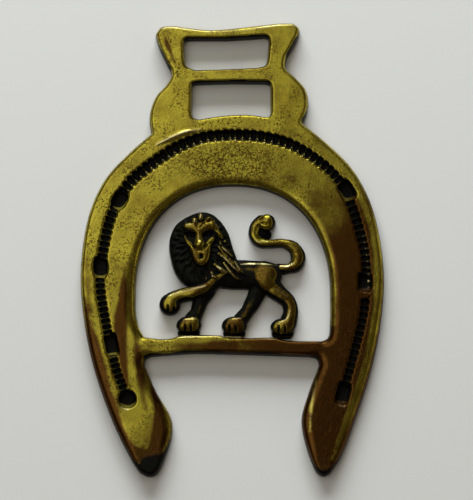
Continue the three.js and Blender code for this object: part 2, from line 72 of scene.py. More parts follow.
# %% [markdown]
# ## Camera, floor and light
# The brass lies on its back, and the camera looks down on it, leaning a little towards the heels.
# A long lens from two thirds of a metre keeps the outline free of perspective. The floor is a plain
# pale sheet. Polished metal shows its surroundings more than its own colour, so three of the lights
# are placed for what they mirror: a broad soft box over the upper left, a low strip on the right and
# a low strip beyond the hanger, with a dim warm room between them. Two more light only what is not a
# mirror, the floor and the dark patina. A ready-made room could light the brass too, but separate
# lamps can be moved one at a time until each edge of the metal is bright or dark where it should be.

# %% Camera
# the lens follows from how much the view takes in at the brass, from its lower to its upper border
VIEW_TILT = math.radians(7.0)
VIEW_DISTANCE = 0.65
VIEW_CENTRE = Vector((0.8, -0.1, 1.5)) * MM
VIEW_HEIGHT = 98.8 * MM

camera_data = bpy.data.cameras.new("camera")
camera_data.sensor_width = 36.0
camera_data.lens = camera_data.sensor_width * VIEW_DISTANCE / VIEW_HEIGHT
camera_data.clip_start = 0.01
camera_data.clip_end = 10.0
camera = bpy.data.objects.new("camera", camera_data)
bpy.context.scene.collection.objects.link(camera)
towards_camera = Vector((0.0, -math.sin(VIEW_TILT), math.cos(VIEW_TILT)))
camera.location = VIEW_CENTRE + towards_camera * VIEW_DISTANCE
camera.rotation_euler = (-towards_camera).to_track_quat("-Z", "Y").to_euler()
bpy.context.scene.camera = camera
bpy.context.scene.view_settings.view_transform = "Standard"
print("lens", round(camera_data.lens), "mm")

# %% Floor
FLOOR_SIDE = 1.6
# a hair below the back, so that the two faces don't lie in one plane
FLOOR_GAP = 0.02
FLOOR_COLOUR = (0.59, 0.60, 0.60, 1)

bpy.ops.object.select_all(action="DESELECT")
bpy.ops.mesh.primitive_plane_add(size=FLOOR_SIDE, location=(0, 0, -FLOOR_GAP * MM))
floor = bpy.context.object
floor.name = "floor"
floor_finish = bpy.data.materials.new("pale_floor")
floor_finish.use_nodes = True
floor_shader = floor_finish.node_tree.nodes["Principled BSDF"]
floor_shader.inputs["Base Color"].default_value = FLOOR_COLOUR
floor_shader.inputs["Roughness"].default_value = 0.9
floor_shader.inputs["Specular IOR Level"].default_value = 0.1
floor.data.materials.append(floor_finish)
print("a floor of", FLOOR_SIDE, "by", FLOOR_SIDE, "m")

# %% Lights that the metal doesn't mirror
def soft_box(name, place, size, power, colour, aim=(0, 0, 0), turn=0.0, mirrored=True):
    """An oblong area light at place, facing aim, turned about its own axis."""
    data = bpy.data.lights.new(name, "AREA")
    data.shape = "RECTANGLE"
    data.size, data.size_y = size
    data.energy = power
    data.color = colour
    lamp = bpy.data.objects.new(name, data)
    bpy.context.scene.collection.objects.link(lamp)
    lamp.location = place
    lamp.rotation_euler = (Vector(aim) - Vector(place)).to_track_quat("-Z", "Y").to_euler()
    lamp.rotation_euler.rotate_axis("Z", turn)
    lamp.visible_glossy = mirrored
    print(name, "of", power, "W")


# daylight comes low from beyond the hanger, and a faint warm fill from above
soft_box("daylight", (-0.12, 1.0, 0.40), (0.9, 0.45), 19.0, (0.97, 1.0, 1.0), mirrored=False)
soft_box("skylight", (0.0, 0.0, 1.2), (1.0, 1.0), 1.8, (1.0, 0.88, 0.62), mirrored=False)

# %% Lights that the metal mirrors
# a wide dim box faces straight down, and the mirrored edge of it crosses the brass from the left
# heel to the right shoulder
EDGE_TURN = math.radians(64)
OVERHEAD = Vector((-0.2435, 0.1965, 0.62))
soft_box("overhead_box", OVERHEAD, (0.9, 0.5), 1.5, (1.0, 1.0, 0.97),
         aim=OVERHEAD - Vector((0, 0, 1)), turn=EDGE_TURN)
soft_box("far_strip", (0.0, 0.8, 0.42), (0.5, 0.28), 2.6, (0.93, 0.98, 1.0))
soft_box("right_strip", (0.75, -0.05, 0.30), (0.7, 0.25), 0.35, (1.0, 0.97, 0.85))

# %% The dim room
ROOM_COLOUR = (0.075, 0.058, 0.045, 1)

world = bpy.data.worlds.new("room")
world.use_nodes = True
background = world.node_tree.nodes["Background"]
background.inputs["Color"].default_value = ROOM_COLOUR
background.inputs["Strength"].default_value = 1.0
bpy.context.scene.world = world
print("the room gives", round(sum(ROOM_COLOUR[:3]) / 3, 3), "of white")

# %% [markdown]
# ## The measures of the casting
# A caster thinks of a pattern in a few measures: how thick the plate is, how broad its edges are
# rounded, how deep the groove goes and how high the lion stands. They could be read off the frame
# one by one, but a named list shows them together, and one change then reaches every form. All are
# in millimetres, and places are counted from the middle of the brass, as in the frame.

# %% Sizes
# the flat of the plate over the back, and how far its rim lies inside the outline
PLATE_TOP = 3.0
EDGE_DRAFT = 0.22
# how broad the edges are rounded: outer edge, legs, heels, window, the arm left of it, slots, bar
EDGE_ROUND = 0.85
LEG_ROUND = 1.9
TIP_ROUND = 0.9
WINDOW_ROUND = 1.7
ARM_ROUND = 2.3
SLOT_ROUND = 0.45
BAR_ROUND = 0.5
# how far down such a rounding goes, and how steeply every form falls outside its own outline
SHOULDER_DROP = 1.14
WALL_SLOPE = 5.0
# the fullering groove with its ridges, and the nail recesses
GROOVE_DEPTH = 1.15
RIDGE_HEIGHT = 0.6
RIDGE_SCALLOP = 0.22
NAIL_DEPTH = 1.6
# tops of the lion's forms over the back, and the thin webs of metal that join its feet to the bar
LION_BODY = 2.7
LION_LEG = 2.8
LION_HAUNCH = 3.3
LION_MANE = 3.0
LION_FACE = 3.7
LION_TAIL = 2.5
LION_WEB = 1.3
print("the plate is", PLATE_TOP, "mm thick, and the face of the lion lies at", LION_FACE, "mm")

# %% [markdown]
# ## Outlines
# The edges of a sand casting are smooth lines with a few real corners, and no two sides are quite
# alike, since the pattern was filed by hand. An outline could be drawn as a curve object, but plain
# points are kept here, because distances are worked out from them later. So each outline is a few
# points joined by smooth curves, with a corner where two stretches meet. The curve rule is the same
# as in the frame, so the edges fall on the same lines.

# %% Smooth stretches
ARCH_POINTS = 97


def curve_through(points, closed=False, per_span=8):
    """A centripetal curve through points in the plan."""
    knots = np.array(points, float)
    if closed:
        knots = np.vstack([knots[-1], knots, knots[0], knots[1]])
    else:
        knots = np.vstack([2 * knots[0] - knots[1], knots, 2 * knots[-1] - knots[-2]])
    fine = []
    for p0, p1, p2, p3 in zip(knots, knots[1:], knots[2:], knots[3:]):
        d0, d1, d2 = [max(np.hypot(*(b - a)) ** 0.5, 1e-4) for a, b in ((p0, p1), (p1, p2), (p2, p3))]
        m1 = (p1 - p0) / d0 - (p2 - p0) / (d0 + d1) + (p2 - p1) / d1
        m2 = (p2 - p1) / d1 - (p3 - p1) / (d1 + d2) + (p3 - p2) / d2
        t = np.linspace(0, 1, per_span, endpoint=False)[:, None]
        fine.append((2 * t**3 - 3 * t**2 + 1) * p1 + (t**3 - 2 * t**2 + t) * m1 * d1
                    + (3 * t**2 - 2 * t**3) * p2 + (t**3 - t**2) * m2 * d1)
    return np.vstack(fine + [knots[-2]])


def ring_of(*stretches):
    """Stretches that follow each other, joined into one closed ring."""
    return np.vstack([curve_through(s)[:-1] for s in stretches])


def arch_half(centre, reach, power):
    """The upper half of a superellipse, from its right end over to its left end."""
    angle = np.linspace(0, math.pi, ARCH_POINTS)
    c, s = np.cos(angle), np.maximum(np.sin(angle), 0)
    return np.stack([centre[0] + np.sign(c) * reach[0] * abs(c) ** (2 / power),
                     centre[1] + reach[1] * s ** (2 / power)], axis=1)


print("three points make a smooth stretch of", len(curve_through([(0, 0), (1, 1), (2, 0)])))

# %% The outer edge
outer_edge = ring_of(
    [(14.0, 25.25), (14.9, 27.3), (15.2, 29.6), (14.65, 32.1), (12.6, 34.5), (10.75, 36.3), (10.8, 37.9),
     (12.1, 40.4), (13.3, 42.8), (13.45, 44.3), (12.2, 45.5)],
    [(12.2, 45.5), (9.1, 45.45), (5.0, 45.0), (-0.7, 44.35), (-4.6, 44.15), (-9.1, 44.6), (-11.8, 44.95),
     (-14.4, 44.6), (-15.5, 43.1)],
    [(-15.5, 43.1), (-14.7, 40.4), (-13.2, 37.1), (-12.3, 35.0), (-13.1, 33.2), (-15.3, 30.7),
     (-16.45, 27.8), (-16.6, 25.3), (-16.2, 23.2)],
    [(-16.2, 23.2), (-20.4, 19.5), (-25.3, 14.15), (-28.4, 7.5), (-29.9, -0.7), (-30.1, -7.4),
     (-29.4, -14.2), (-27.7, -22.5), (-24.8, -31.2), (-22.0, -37.7), (-19.1, -43.0), (-18.1, -44.3)],
    [(-18.1, -44.3), (-16.5, -45.0), (-14.9, -44.6), (-12.9, -40.6), (-11.65, -36.0), (-12.0, -33.1),
     (-14.8, -28.2), (-17.1, -22.9)],
    [(-17.1, -22.9), (-17.0, -21.9), (-15.9, -21.35)],
    [(-15.9, -21.35), (-7.6, -20.75), (0, -20.9), (8.0, -21.15), (15.2, -21.4)],
    [(15.2, -21.4), (16.5, -21.8), (16.9, -22.9)],
    [(16.9, -22.9), (14.9, -28.2), (13.5, -33.1), (13.7, -36.2), (15.5, -42.3), (16.7, -44.4),
     (17.9, -44.95), (19.2, -44.4)],
    [(19.2, -44.4), (21.4, -41.0), (24.4, -33.1), (27.1, -25.1), (29.2, -15.9), (30.1, -6.0),
     (29.2, 2.9), (27.3, 9.9), (23.8, 16.25), (18.25, 21.8), (14.0, 25.25)])
print("the outer edge is", np.round(np.ptp(outer_edge, axis=0), 1), "mm wide and high")

# %% The window and the slots
window_edge = np.vstack([
    arch_half((0.1, -9.0), (19.05, 21.6), 2.25)[:-1],
    ring_of(
        [(-18.95, -9.0), (-18.9, -12.6), (-18.2, -15.6), (-17.3, -17.2)],
        [(-17.3, -17.2), (-14.2, -17.6), (-12.2, -17.5), (-10.6, -17.0), (-7.0, -16.85), (-2.4, -16.9),
         (-1.2, -17.3), (3.0, -17.4), (7.6, -17.3), (10.9, -17.9), (17.6, -18.0)],
        [(17.6, -18.0), (18.7, -17.4), (19.1, -14.5), (19.15, -9.0)])])
upper_slot = ring_of(
    [(7.2, 41.5), (7.05, 42.25), (6.3, 42.5)], [(6.3, 42.5), (2.2, 42.2), (-1.2, 42.0)],
    [(-1.2, 42.0), (-8.6, 42.0)], [(-8.6, 42.0), (-9.4, 41.7), (-9.6, 41.0)],
    [(-9.6, 41.0), (-9.5, 38.2)], [(-9.5, 38.2), (-9.1, 36.7), (-7.4, 35.9)],
    [(-7.4, 35.9), (-1.0, 36.1), (5.0, 36.4)], [(5.0, 36.4), (6.5, 36.9), (6.9, 38.1)],
    [(6.9, 38.1), (7.2, 41.5)])
lower_slot = ring_of(
    [(7.55, 32.2), (7.3, 33.0), (6.5, 33.25)], [(6.5, 33.25), (0, 33.3), (-7.0, 33.1)],
    [(-7.0, 33.1), (-7.8, 32.9), (-8.0, 32.1)], [(-8.0, 32.1), (-8.05, 27.6)],
    [(-8.05, 27.6), (-7.75, 26.4), (-6.8, 25.95)],
    [(-6.8, 25.95), (-3.6, 26.5), (0.2, 26.9), (3.6, 26.9), (6.3, 26.5)],
    [(6.3, 26.5), (7.25, 26.6), (7.55, 27.4)], [(7.55, 27.4), (7.55, 32.2)])
for name, edge in (("window", window_edge), ("upper slot", upper_slot), ("lower slot", lower_slot)):
    print("the", name, "is", np.round(np.ptp(edge, axis=0), 1), "mm wide and high")

# %% [markdown]
# ## Fields
# A relief is a surface with one height at each place of the plan. It could be sculpted with brushes
# or joined from many solids, but the seams of joined solids are sharp where a casting has fillets.
# So each form is two numbers at every place: how deep that place lies inside the form, and how high
# the form stands there. Forms are then merged with a soft maximum, as wet clay would be.

# %% Distances
# stands in for a length of nothing where it would be divided by
TINY = 1e-12


def smoothstep(value, low, high):
    """0 below low, 1 above high, smooth between."""
    t = np.clip((value - low) / (high - low), 0, 1)
    return t * t * (3 - 2 * t)


def inside_ring(at, ring):
    """Distance to a closed ring, positive inside and negative outside."""
    ends = np.roll(ring, -1, axis=0)
    best = np.full(len(at), np.inf)
    crossings = np.zeros(len(at), int)
    for (ax, ay), (bx, by) in zip(ring, ends):
        dx, dy = bx - ax, by - ay
        t = np.clip(((at[:, 0] - ax) * dx + (at[:, 1] - ay) * dy) / max(dx * dx + dy * dy, TINY), 0, 1)
        best = np.minimum(best, (at[:, 0] - ax - t * dx) ** 2 + (at[:, 1] - ay - t * dy) ** 2)
        if ay != by:
            spans = (ay > at[:, 1]) != (by > at[:, 1])
            crossings += spans & (at[:, 0] < ax + (at[:, 1] - ay) * dx / dy)
    return np.where(crossings % 2 == 1, 1, -1) * np.sqrt(best)


def soft_max(a, b, reach=0.15):
    """The larger of two heights, with a fillet where they are within reach of each other."""
    share = np.clip(0.5 + 0.5 * (a - b) / reach, 0, 1)
    return a * share + b * (1 - share) + reach * share * (1 - share)


origin = np.zeros((1, 2))
print("the origin lies", round(inside_ring(origin, window_edge)[0], 1), "mm inside the window")

# %% Following a path
def along_path(at, stations, per_span=6):
    """Follows a path of [x, y, half width, value]: depth, side, half width, value, turns so far.
    Turns are the lengths walked, each divided by the value there."""
    stations = np.array(stations, float)
    path = curve_through(stations[:, :2], per_span=per_span)
    spans = np.linspace(0, len(stations) - 1, len(path))
    index = np.minimum(spans.astype(int), len(stations) - 2)
    ease = smoothstep(spans - index, 0, 1)[:, None]
    sizes = stations[index, 2:] * (1 - ease) + stations[index + 1, 2:] * ease
    steps = np.hypot(*np.diff(path, axis=0).T)
    turns = np.concatenate([[0], np.cumsum(steps / (0.5 * (sizes[1:, 1] + sizes[:-1, 1])))])
    depth = np.full(len(at), -np.inf)
    side, half, value, turned = (np.zeros(len(at)) for _ in range(4))
    for i in range(len(path) - 1):
        step = path[i + 1] - path[i]
        off = at - path[i]
        t = np.clip((off @ step) / steps[i] ** 2, 0, 1)
        away = np.hypot(off[:, 0] - t * step[0], off[:, 1] - t * step[1])
        here = sizes[i, 0] * (1 - t) + sizes[i + 1, 0] * t
        nearer = here - away > depth
        depth = np.where(nearer, here - away, depth)
        half = np.where(nearer, here, half)
        value = np.where(nearer, sizes[i, 1] * (1 - t) + sizes[i + 1, 1] * t, value)
        left = step[0] * off[:, 1] - step[1] * off[:, 0] > 0
        side = np.where(nearer, np.where(left, away, -away), side)
        turned = np.where(nearer, turns[i] * (1 - t) + turns[i + 1] * t, turned)
    return depth, side, half, value, turned


print("2 mm of path in steps of 0.5 mm:", along_path(origin, [(-2, 0, 1, 0.5), (0, 0, 1, 0.5)])[4][0])

# %% Forms of the relief
# no form reaches this far down, so it never shows
FAR_BELOW = -20.0
# the share of a mound's height that is its steep wall
MOUND_WALL = 0.62
# a dent is flat inside the first share of its reach, and fades out at the second
DENT_FADE = (0.35, 1.15)


def round_rise(across):
    """A quarter round: 1 in the middle, 0 at the rim."""
    return np.sqrt(np.clip(1 - across**2, 0, 1))


def fall(depth):
    """The steep wall outside a form."""
    return np.minimum(depth, 0) * WALL_SLOPE


def limb(at, stations, crown=1.2):
    """A rounded limb along [x, y, half width, top] stations: its depth and its height."""
    depth, _, half, top, _ = along_path(at, stations)
    across = np.clip(1 - depth / half, 0, 1)
    return depth, top - crown * (1 - round_rise(across)) + fall(depth)


def oval(at, x, y, reach_x, reach_y, turn=0.0):
    """1 on an oval, less inside it."""
    lean = math.radians(turn)
    dx, dy = at[:, 0] - x, at[:, 1] - y
    u = (dx * math.cos(lean) + dy * math.sin(lean)) / reach_x
    v = (dy * math.cos(lean) - dx * math.sin(lean)) / reach_y
    return np.hypot(u, v)


def mound(at, x, y, reach_x, reach_y, top, turn=0.0):
    """A rounded mound with a steep wall: its depth and its height."""
    across = oval(at, x, y, reach_x, reach_y, turn)
    depth = (1 - across) * min(reach_x, reach_y)
    wall = top * MOUND_WALL
    return depth, wall + (top - wall) * round_rise(across) + fall(depth)


def lump(at, x, y, z, reach_x, reach_y, reach_z, turn=0.0):
    """An egg-shaped lump that sits on other forms."""
    across = oval(at, x, y, reach_x, reach_y, turn)
    return np.where(across < 1, z + reach_z * round_rise(across), FAR_BELOW)


def dent(at, x, y, reach_x, reach_y, depth, turn=0.0):
    """How deep a soft-edged hollow goes at each place."""
    return depth * (1 - smoothstep(oval(at, x, y, reach_x, reach_y, turn), *DENT_FADE))


print("a mound of 3 mm is", round(mound(origin, 0, 0, 2, 2, 3)[1][0], 2), "mm high in its middle")

# %% [markdown]
# ## Horseshoe, bar and hanger
# The plate is flat, with a quarter round along every edge. The round is narrow on the hanger and
# grows broad down the legs, where a strap and hands have worn it. The fullering groove, which on a
# real horseshoe takes the nails, is a trough with a ridge across it at every pitch, and the nail
# recesses are cut through it. A bevel tool could round the edges and a boolean could cut the groove,
# but a bevel has one width all along, and cutting a hundred ridges one by one is slow. A height
# worked out from the distance to the edge can change its width on the way.

# %% Edges of the plate
# the stretches over which a rounding changes, each from its start to where it is complete
LEG_GROWS = (4, 24)
HEEL_GROWS = (36, 44)
BAR_FOOT_SIDE = (14.5, 17.5)
BAR_FOOT_END = (-25, -23)
BAR_FOOT_SHARE = 0.7
ARM_SIDE = (12, 18)
ARM_TOP = (-4, 8)
ARM_FOOT = (13, 17.5)
BAR_GROWS = (15.5, 17.2)
BAR_SIDE = (16.5, 18.5)
# the walls of the slots lean this share of the outer draft
SLOT_DRAFT = 0.4


def edge_rounding(at):
    """How broad the outer edge is rounded at each place."""
    x, y = at.T
    broad = EDGE_ROUND + (LEG_ROUND - EDGE_ROUND) * smoothstep(-y, *LEG_GROWS)
    width = broad + (TIP_ROUND - broad) * smoothstep(-y, *HEEL_GROWS)
    on_bar = (1 - smoothstep(abs(x), *BAR_FOOT_SIDE)) * smoothstep(y, *BAR_FOOT_END)
    return width + (EDGE_ROUND * BAR_FOOT_SHARE - width) * on_bar


def window_rounding(at):
    """How broad the edge of the window is rounded at each place."""
    x, y = at.T
    left = smoothstep(-x, *ARM_SIDE) * smoothstep(-y, *ARM_TOP) * (1 - smoothstep(-y, *ARM_FOOT))
    width = WINDOW_ROUND + (ARM_ROUND - WINDOW_ROUND) * left
    on_bar = smoothstep(-y, *BAR_GROWS) * (1 - smoothstep(abs(x), *BAR_SIDE))
    return width + (BAR_ROUND - width) * on_bar


def shoulder(depth, draft, width):
    """How far a rounded edge lies under the flat, at a depth inside the outline."""
    across = 1 - np.clip((depth - draft) / width, 0, 1)
    return SHOULDER_DROP * (1 - round_rise(across)) - fall(depth - draft)


def plate(at):
    """The horseshoe with its bar and hanger, without the groove: its depth and its height."""
    outer = inside_ring(at, outer_edge)
    window = -inside_ring(at, window_edge)
    slots = -np.maximum(inside_ring(at, upper_slot), inside_ring(at, lower_slot))
    height = PLATE_TOP - shoulder(outer, EDGE_DRAFT, edge_rounding(at))
    height -= shoulder(window, EDGE_DRAFT, window_rounding(at))
    height -= shoulder(slots, EDGE_DRAFT * SLOT_DRAFT, SLOT_ROUND)
    return np.minimum(np.minimum(outer, window), slots + EDGE_DRAFT * (1 - SLOT_DRAFT)), height


mid_bar = np.array([[0.0, -19.2]])
print("the bar is", round(plate(mid_bar)[1][0], 2), "mm high in its middle")

# %% Groove and nail recesses
# each groove starts at the crown: x, y, half width, pitch of the ridges
groove_left = [
    (0.2, 22.7, 1.15, 1.48), (-5.3, 22.2, 1.15, 1.48), (-10, 20.6, 1.25, 1.45), (-14, 18.2, 1.2, 1.4),
    (-17.4, 15.7, 1.2, 1.35), (-20.5, 12.8, 1.15, 1.3), (-23.9, 6.5, 1.1, 1.25), (-25.5, -0.4, 1.05, 1.2),
    (-26.1, -7.0, 1.0, 1.2), (-24.9, -14.8, 0.95, 1.15), (-22.9, -23.6, 0.9, 1.1), (-21.1, -28.8, 0.9, 1.1)]
groove_right = [
    (-0.2, 22.7, 1.15, 1.48), (4.3, 22.45, 1.15, 1.48), (8.5, 21.75, 1.15, 1.45), (11.9, 20.6, 1.1, 1.4),
    (17.2, 17.3, 1.05, 1.35), (21.0, 13.6, 1.0, 1.3), (23.7, 8.0, 1.0, 1.28), (25.2, 3.0, 1.0, 1.25),
    (26.2, -2.0, 0.95, 1.25), (26.1, -10.5, 0.9, 1.25), (25.1, -16.0, 0.85, 1.28),
    (23.4, -22.5, 0.85, 1.29),
    (21.9, -27.6, 0.85, 1.29)]
# x, y, width, length, turn, and how square it is: 2 is an oval, more is nearer to an oblong
nails = [
    (-22.3, 9.7, 3.1, 4.4, -28, 2.6), (-26.0, -3.7, 3.1, 4.8, 1, 2.4), (-23.8, -19.0, 2.7, 4.8, 12, 4.5),
    (-20.6, -29.7, 3.7, 3.7, 0, 2.0), (22.6, 11.6, 3.0, 4.4, 32, 3.5), (26.1, -6.6, 2.9, 3.8, 0, 5.0),
    (21.7, -28.6, 2.8, 4.6, -14, 4.5)]
print(len(groove_left), "and", len(groove_right), "stations of groove,", len(nails), "recesses")

# %% The cuts
# where the flanks of a ridge, of the trough, and of the painted highlight at the tip of a ridge begin and
# end
RIDGE_FLANK = (0.42, 1.0)
TROUGH_FLANK = (0.5, 1.1)
TIP_FLANK = (0.5, 0.85)
# the tip of a ridge, as a share of the way from the middle of the trough to its edge
TIP_MIDDLE = 0.62
TIP_FADE = (0.12, 0.4)
# how suddenly the wall of a nail recess falls
NAIL_STEEPNESS = 6
# a smooth stretch without ridges lies below the middle recess of the right arm
SMOOTH_STRETCH = (26.0, -9.25, 1.2, 0.75)
SMOOTH_FADE = (0.8, 1.2)


def trough(at, line):
    """Distance off the middle, half width, and the swing between hollow (0) and ridge (1)."""
    _, side, half, _, turned = along_path(at, line)
    return side, half, 1 - abs(2 * (turned % 1) - 1)


def groove_cut(at, line):
    """Depth of the ridged trough at each place."""
    side, half, swing = trough(at, line)
    ridge = smoothstep(swing, *RIDGE_FLANK)
    rim = half - RIDGE_SCALLOP * ridge
    bowl = 1 - smoothstep(abs(side) / rim, *TROUGH_FLANK)
    return (GROOVE_DEPTH - RIDGE_HEIGHT * ridge) * bowl


def ridge_tips(at, line, toward):
    """1 where the ridges meet the edge of the trough, on its left (1) or its right (-1): where a painted
    highlight goes.
    """
    side, half, swing = trough(at, line)
    off_tip = abs(toward * side / half - TIP_MIDDLE)
    return smoothstep(swing, *TIP_FLANK) * (1 - smoothstep(off_tip, *TIP_FADE))


def nail_cut(at, x, y, width, length, turn, power):
    """Depth of a nail recess at each place."""
    lean = math.radians(turn)
    dx, dy = at[:, 0] - x, at[:, 1] - y
    u = abs(dx * math.cos(lean) + dy * math.sin(lean)) / (width / 2)
    v = abs(dy * math.cos(lean) - dx * math.sin(lean)) / (length / 2)
    rim = (u**power + v**power) ** (1 / power)
    return NAIL_DEPTH * np.clip(1 - rim**NAIL_STEEPNESS, 0, 1)


def cuts(at):
    """Depth of the groove and of all recesses at each place."""
    deepest = np.where(at[:, 0] < 0, groove_cut(at, groove_left), groove_cut(at, groove_right))
    deepest *= smoothstep(oval(at, *SMOOTH_STRETCH), *SMOOTH_FADE)
    for nail in nails:
        deepest = np.maximum(deepest, nail_cut(at, *nail))
    return deepest


for name, line in (("left", groove_left), ("right", groove_right)):
    far_end = np.array([line[-1][:2]], float)
    print("the", name, "groove has", round(along_path(far_end, line)[4][0]), "ridges")

# %% [markdown]
# ## The lion
# The lion was modelled in clay or carved in the pattern: a body of rounded limbs, a flat mane with
# locks round a raised face, paws with slit toes, and a tail that curls into a tuft. It could be
# sculpted by hand with brushes, but then no size of it could be read or changed. Each form is a
# limb along a few stations, a mound or a lump here, with its own height over the back.

# %% Body, legs and tail
# stations of x, y, half width, top
body_forms = [
    [(-3.4, -5.2, 2.4, 2.7), (0.5, -4.95, 2.95, LION_BODY), (4.5, -5.05, 2.9, LION_BODY),
     (7.2, -5.1, 2.6, 3.0)],
    [(-2.2, -5.4, 1.5, 2.8), (-4.3, -6.9, 1.6, 3.05), (-7.2, -8.4, 1.5, 3.1),
     (-10.2, -9.15, 1.4, LION_LEG), (-12.0, -9.9, 1.5, LION_LEG)],
    [(-5.2, -7.6, 2.1, 2.3), (-6.4, -10.4, 1.5, 2.3), (-7.05, -12.4, 1.35, 2.3), (-7.9, -13.8, 1.6, 2.5)],
    [(5.4, -7.2, 1.9, 2.3), (4.1, -10.2, 1.6, 2.3), (2.9, -12.2, 1.35, 2.3), (1.6, -13.9, 1.5, 2.5)],
    [(7.1, -6.2, 2.2, 3.1), (8.2, -7.8, 1.9, 3.05), (9.7, -9.1, 1.6, 2.95), (11.0, -10.3, 1.5, LION_LEG),
     (11.5, -12.2, 1.5, LION_LEG), (11.0, -14.4, 1.7, LION_LEG)]]
tail_path = [
    (9.0, -3.9, 1.15, LION_TAIL), (11.0, -3.75, 1.0, LION_TAIL), (12.5, -3.0, 1.35, LION_TAIL),
    (13.0, -1.4, 1.5, LION_TAIL), (12.2, 0.35, 1.25, LION_TAIL), (10.0, 1.3, 0.9, LION_TAIL),
    (7.4, 1.2, 0.85, LION_TAIL), (5.3, 1.5, 1.0, LION_TAIL), (4.2, 2.9, 1.0, LION_TAIL),
    (4.6, 4.7, 1.15, LION_TAIL), (5.6, 5.7, 1.2, 2.7)]
# x, y, reach across, reach along, top, and where its two toe slits are
paws = [
    (-12.35, -10.9, 2.1, 2.15, 3.0, ((-12.7, -12.0), (-11.6, -12.0))),
    (-8.6, -15.0, 2.55, 1.75, 3.0, ((-9.3, -15.8), (-8.2, -15.8))),
    (0.35, -15.1, 2.55, 1.85, 2.9, ((-0.6, -15.9), (0.6, -15.9))),
    (9.9, -15.3, 2.5, 1.65, 2.9, ((9.1, -16.0), (10.3, -16.0)))]
print(len(body_forms), "limbs of the body,", len(tail_path), "stations of the tail,", len(paws), "paws")

# %% Edges of mane, face and muzzle
mane_edge = curve_through([
    (-6.2, 7.44), (-8.6, 6.7), (-11.2, 4.9), (-12.3, 2.7), (-12.55, 0.5), (-12.2, -2.0), (-11.3, -4.8),
    (-9.6, -6.9), (-7.0, -7.7), (-3.6, -7.2), (-0.6, -5.9), (1.2, -4.0), (0.9, -1.9), (0.1, 0.4),
    (-0.8, 3.3), (-2.2, 5.5), (-4.2, 7.1)], closed=True)[:-1]
face_edge = curve_through([
    (-6.2, 5.6), (-8.2, 5.4), (-9.6, 4.3), (-9.5, 2.6), (-8.5, 0.2), (-8.1, -1.4), (-7.3, -2.8),
    (-6.2, -3.3), (-5.1, -2.7), (-4.5, -1.2), (-4.2, 0.2), (-3.0, 2.4), (-2.7, 4.1), (-4.2, 5.3)],
    closed=True)[:-1]
FACE = (-6.4, 1.0)
muzzle_edge = curve_through([
    (-8.3, 0.55), (-7.5, 0.2), (-6.5, -0.3), (-5.4, 0.35), (-4.4, 0.9), (-4.3, -0.8), (-4.6, -2.2),
    (-5.2, -3.15), (-6.1, -3.5), (-7.05, -3.1), (-7.8, -1.9), (-8.3, -0.4)], closed=True)[:-1]
print("the mane is", np.round(np.ptp(mane_edge, axis=0), 1), "mm wide and high")

# %% Locks and features
# locks that hang down the neck: x, y, half width, top
long_locks = [
    [(-5.7, -3.2, 0.3, 3.2), (-5.3, -5.1, 0.34, 3.2), (-5.0, -6.3, 0.2, 3.1)],
    [(-4.7, -3.3, 0.32, 3.3), (-4.1, -4.8, 0.36, 3.3), (-3.5, -5.5, 0.2, 3.1)],
    [(-3.5, -3.2, 0.36, 3.4), (-2.3, -4.1, 0.45, 3.5), (-1.2, -4.8, 0.24, 3.2)],
    [(-2.9, 2.6, 0.3, 3.4), (-2.1, 0.4, 0.3, 3.4), (-1.3, -0.4, 0.34, 3.4), (-0.1, -1.5, 0.2, 3.2)],
    [(-2.7, 0.3, 0.3, 3.4), (-1.8, -0.9, 0.34, 3.4), (-0.5, -2.2, 0.3, 3.3), (0.2, -2.9, 0.2, 3.2)],
    [(-2.7, -1.1, 0.34, 3.5), (-1.3, -2.1, 0.4, 3.5), (0.2, -3.7, 0.36, 3.4), (1.3, -4.7, 0.22, 3.1)],
    [(-1.7, -2.9, 0.32, 3.4), (-0.5, -4.5, 0.38, 3.4), (0.7, -5.8, 0.3, 3.2), (1.7, -6.3, 0.2, 3.0)],
    [(0.5, -2.7, 0.3, 3.2), (1.4, -4.1, 0.36, 3.3), (2.5, -5.3, 0.2, 3.0)]]
# brows, bridge of the nose, a curl over the right brow, cheeks, and a lock beside the right eye
face_ridges = [
    [(-9.0, 4.4, 0.6, 4.15), (-8.3, 4.3, 0.72, 4.25), (-7.3, 3.8, 0.6, 4.3), (-6.7, 3.1, 0.5, 4.35)],
    [(-6.4, 3.5, 0.6, 4.35), (-5.3, 4.35, 0.75, 4.3), (-4.1, 4.55, 0.72, 4.2), (-3.1, 4.0, 0.45, 3.95)],
    [(-6.6, 3.6, 0.6, 4.3), (-6.6, 2.2, 0.6, 4.4), (-6.55, 1.2, 0.8, 4.4)],
    [(-5.5, 5.05, 0.34, 4.0), (-4.75, 5.85, 0.42, 4.1), (-3.75, 5.35, 0.3, 3.9)],
    [(-9.3, 2.4, 0.3, 3.6), (-8.9, 1.4, 0.4, 3.8), (-8.2, 0.5, 0.45, 3.85)],
    [(-4.9, 1.0, 0.35, 3.85), (-4.2, 1.6, 0.5, 3.9), (-3.6, 2.3, 0.42, 3.7)],
    [(-3.0, 3.5, 0.36, 3.8), (-2.5, 2.8, 0.42, 3.8), (-2.1, 2.1, 0.3, 3.5)]]
# the nose and two locks of the forehead: x, y, z, reach across, reach along, reach up, turn
face_lumps = [
    (-6.5, 0.75, 3.9, 1.08, 0.95, 0.78, 0),
    (-6.26, 6.15, 3.6, 0.6, 0.85, 0.5, 0), (-7.45, 5.35, 3.65, 0.56, 0.75, 0.5, 15)]
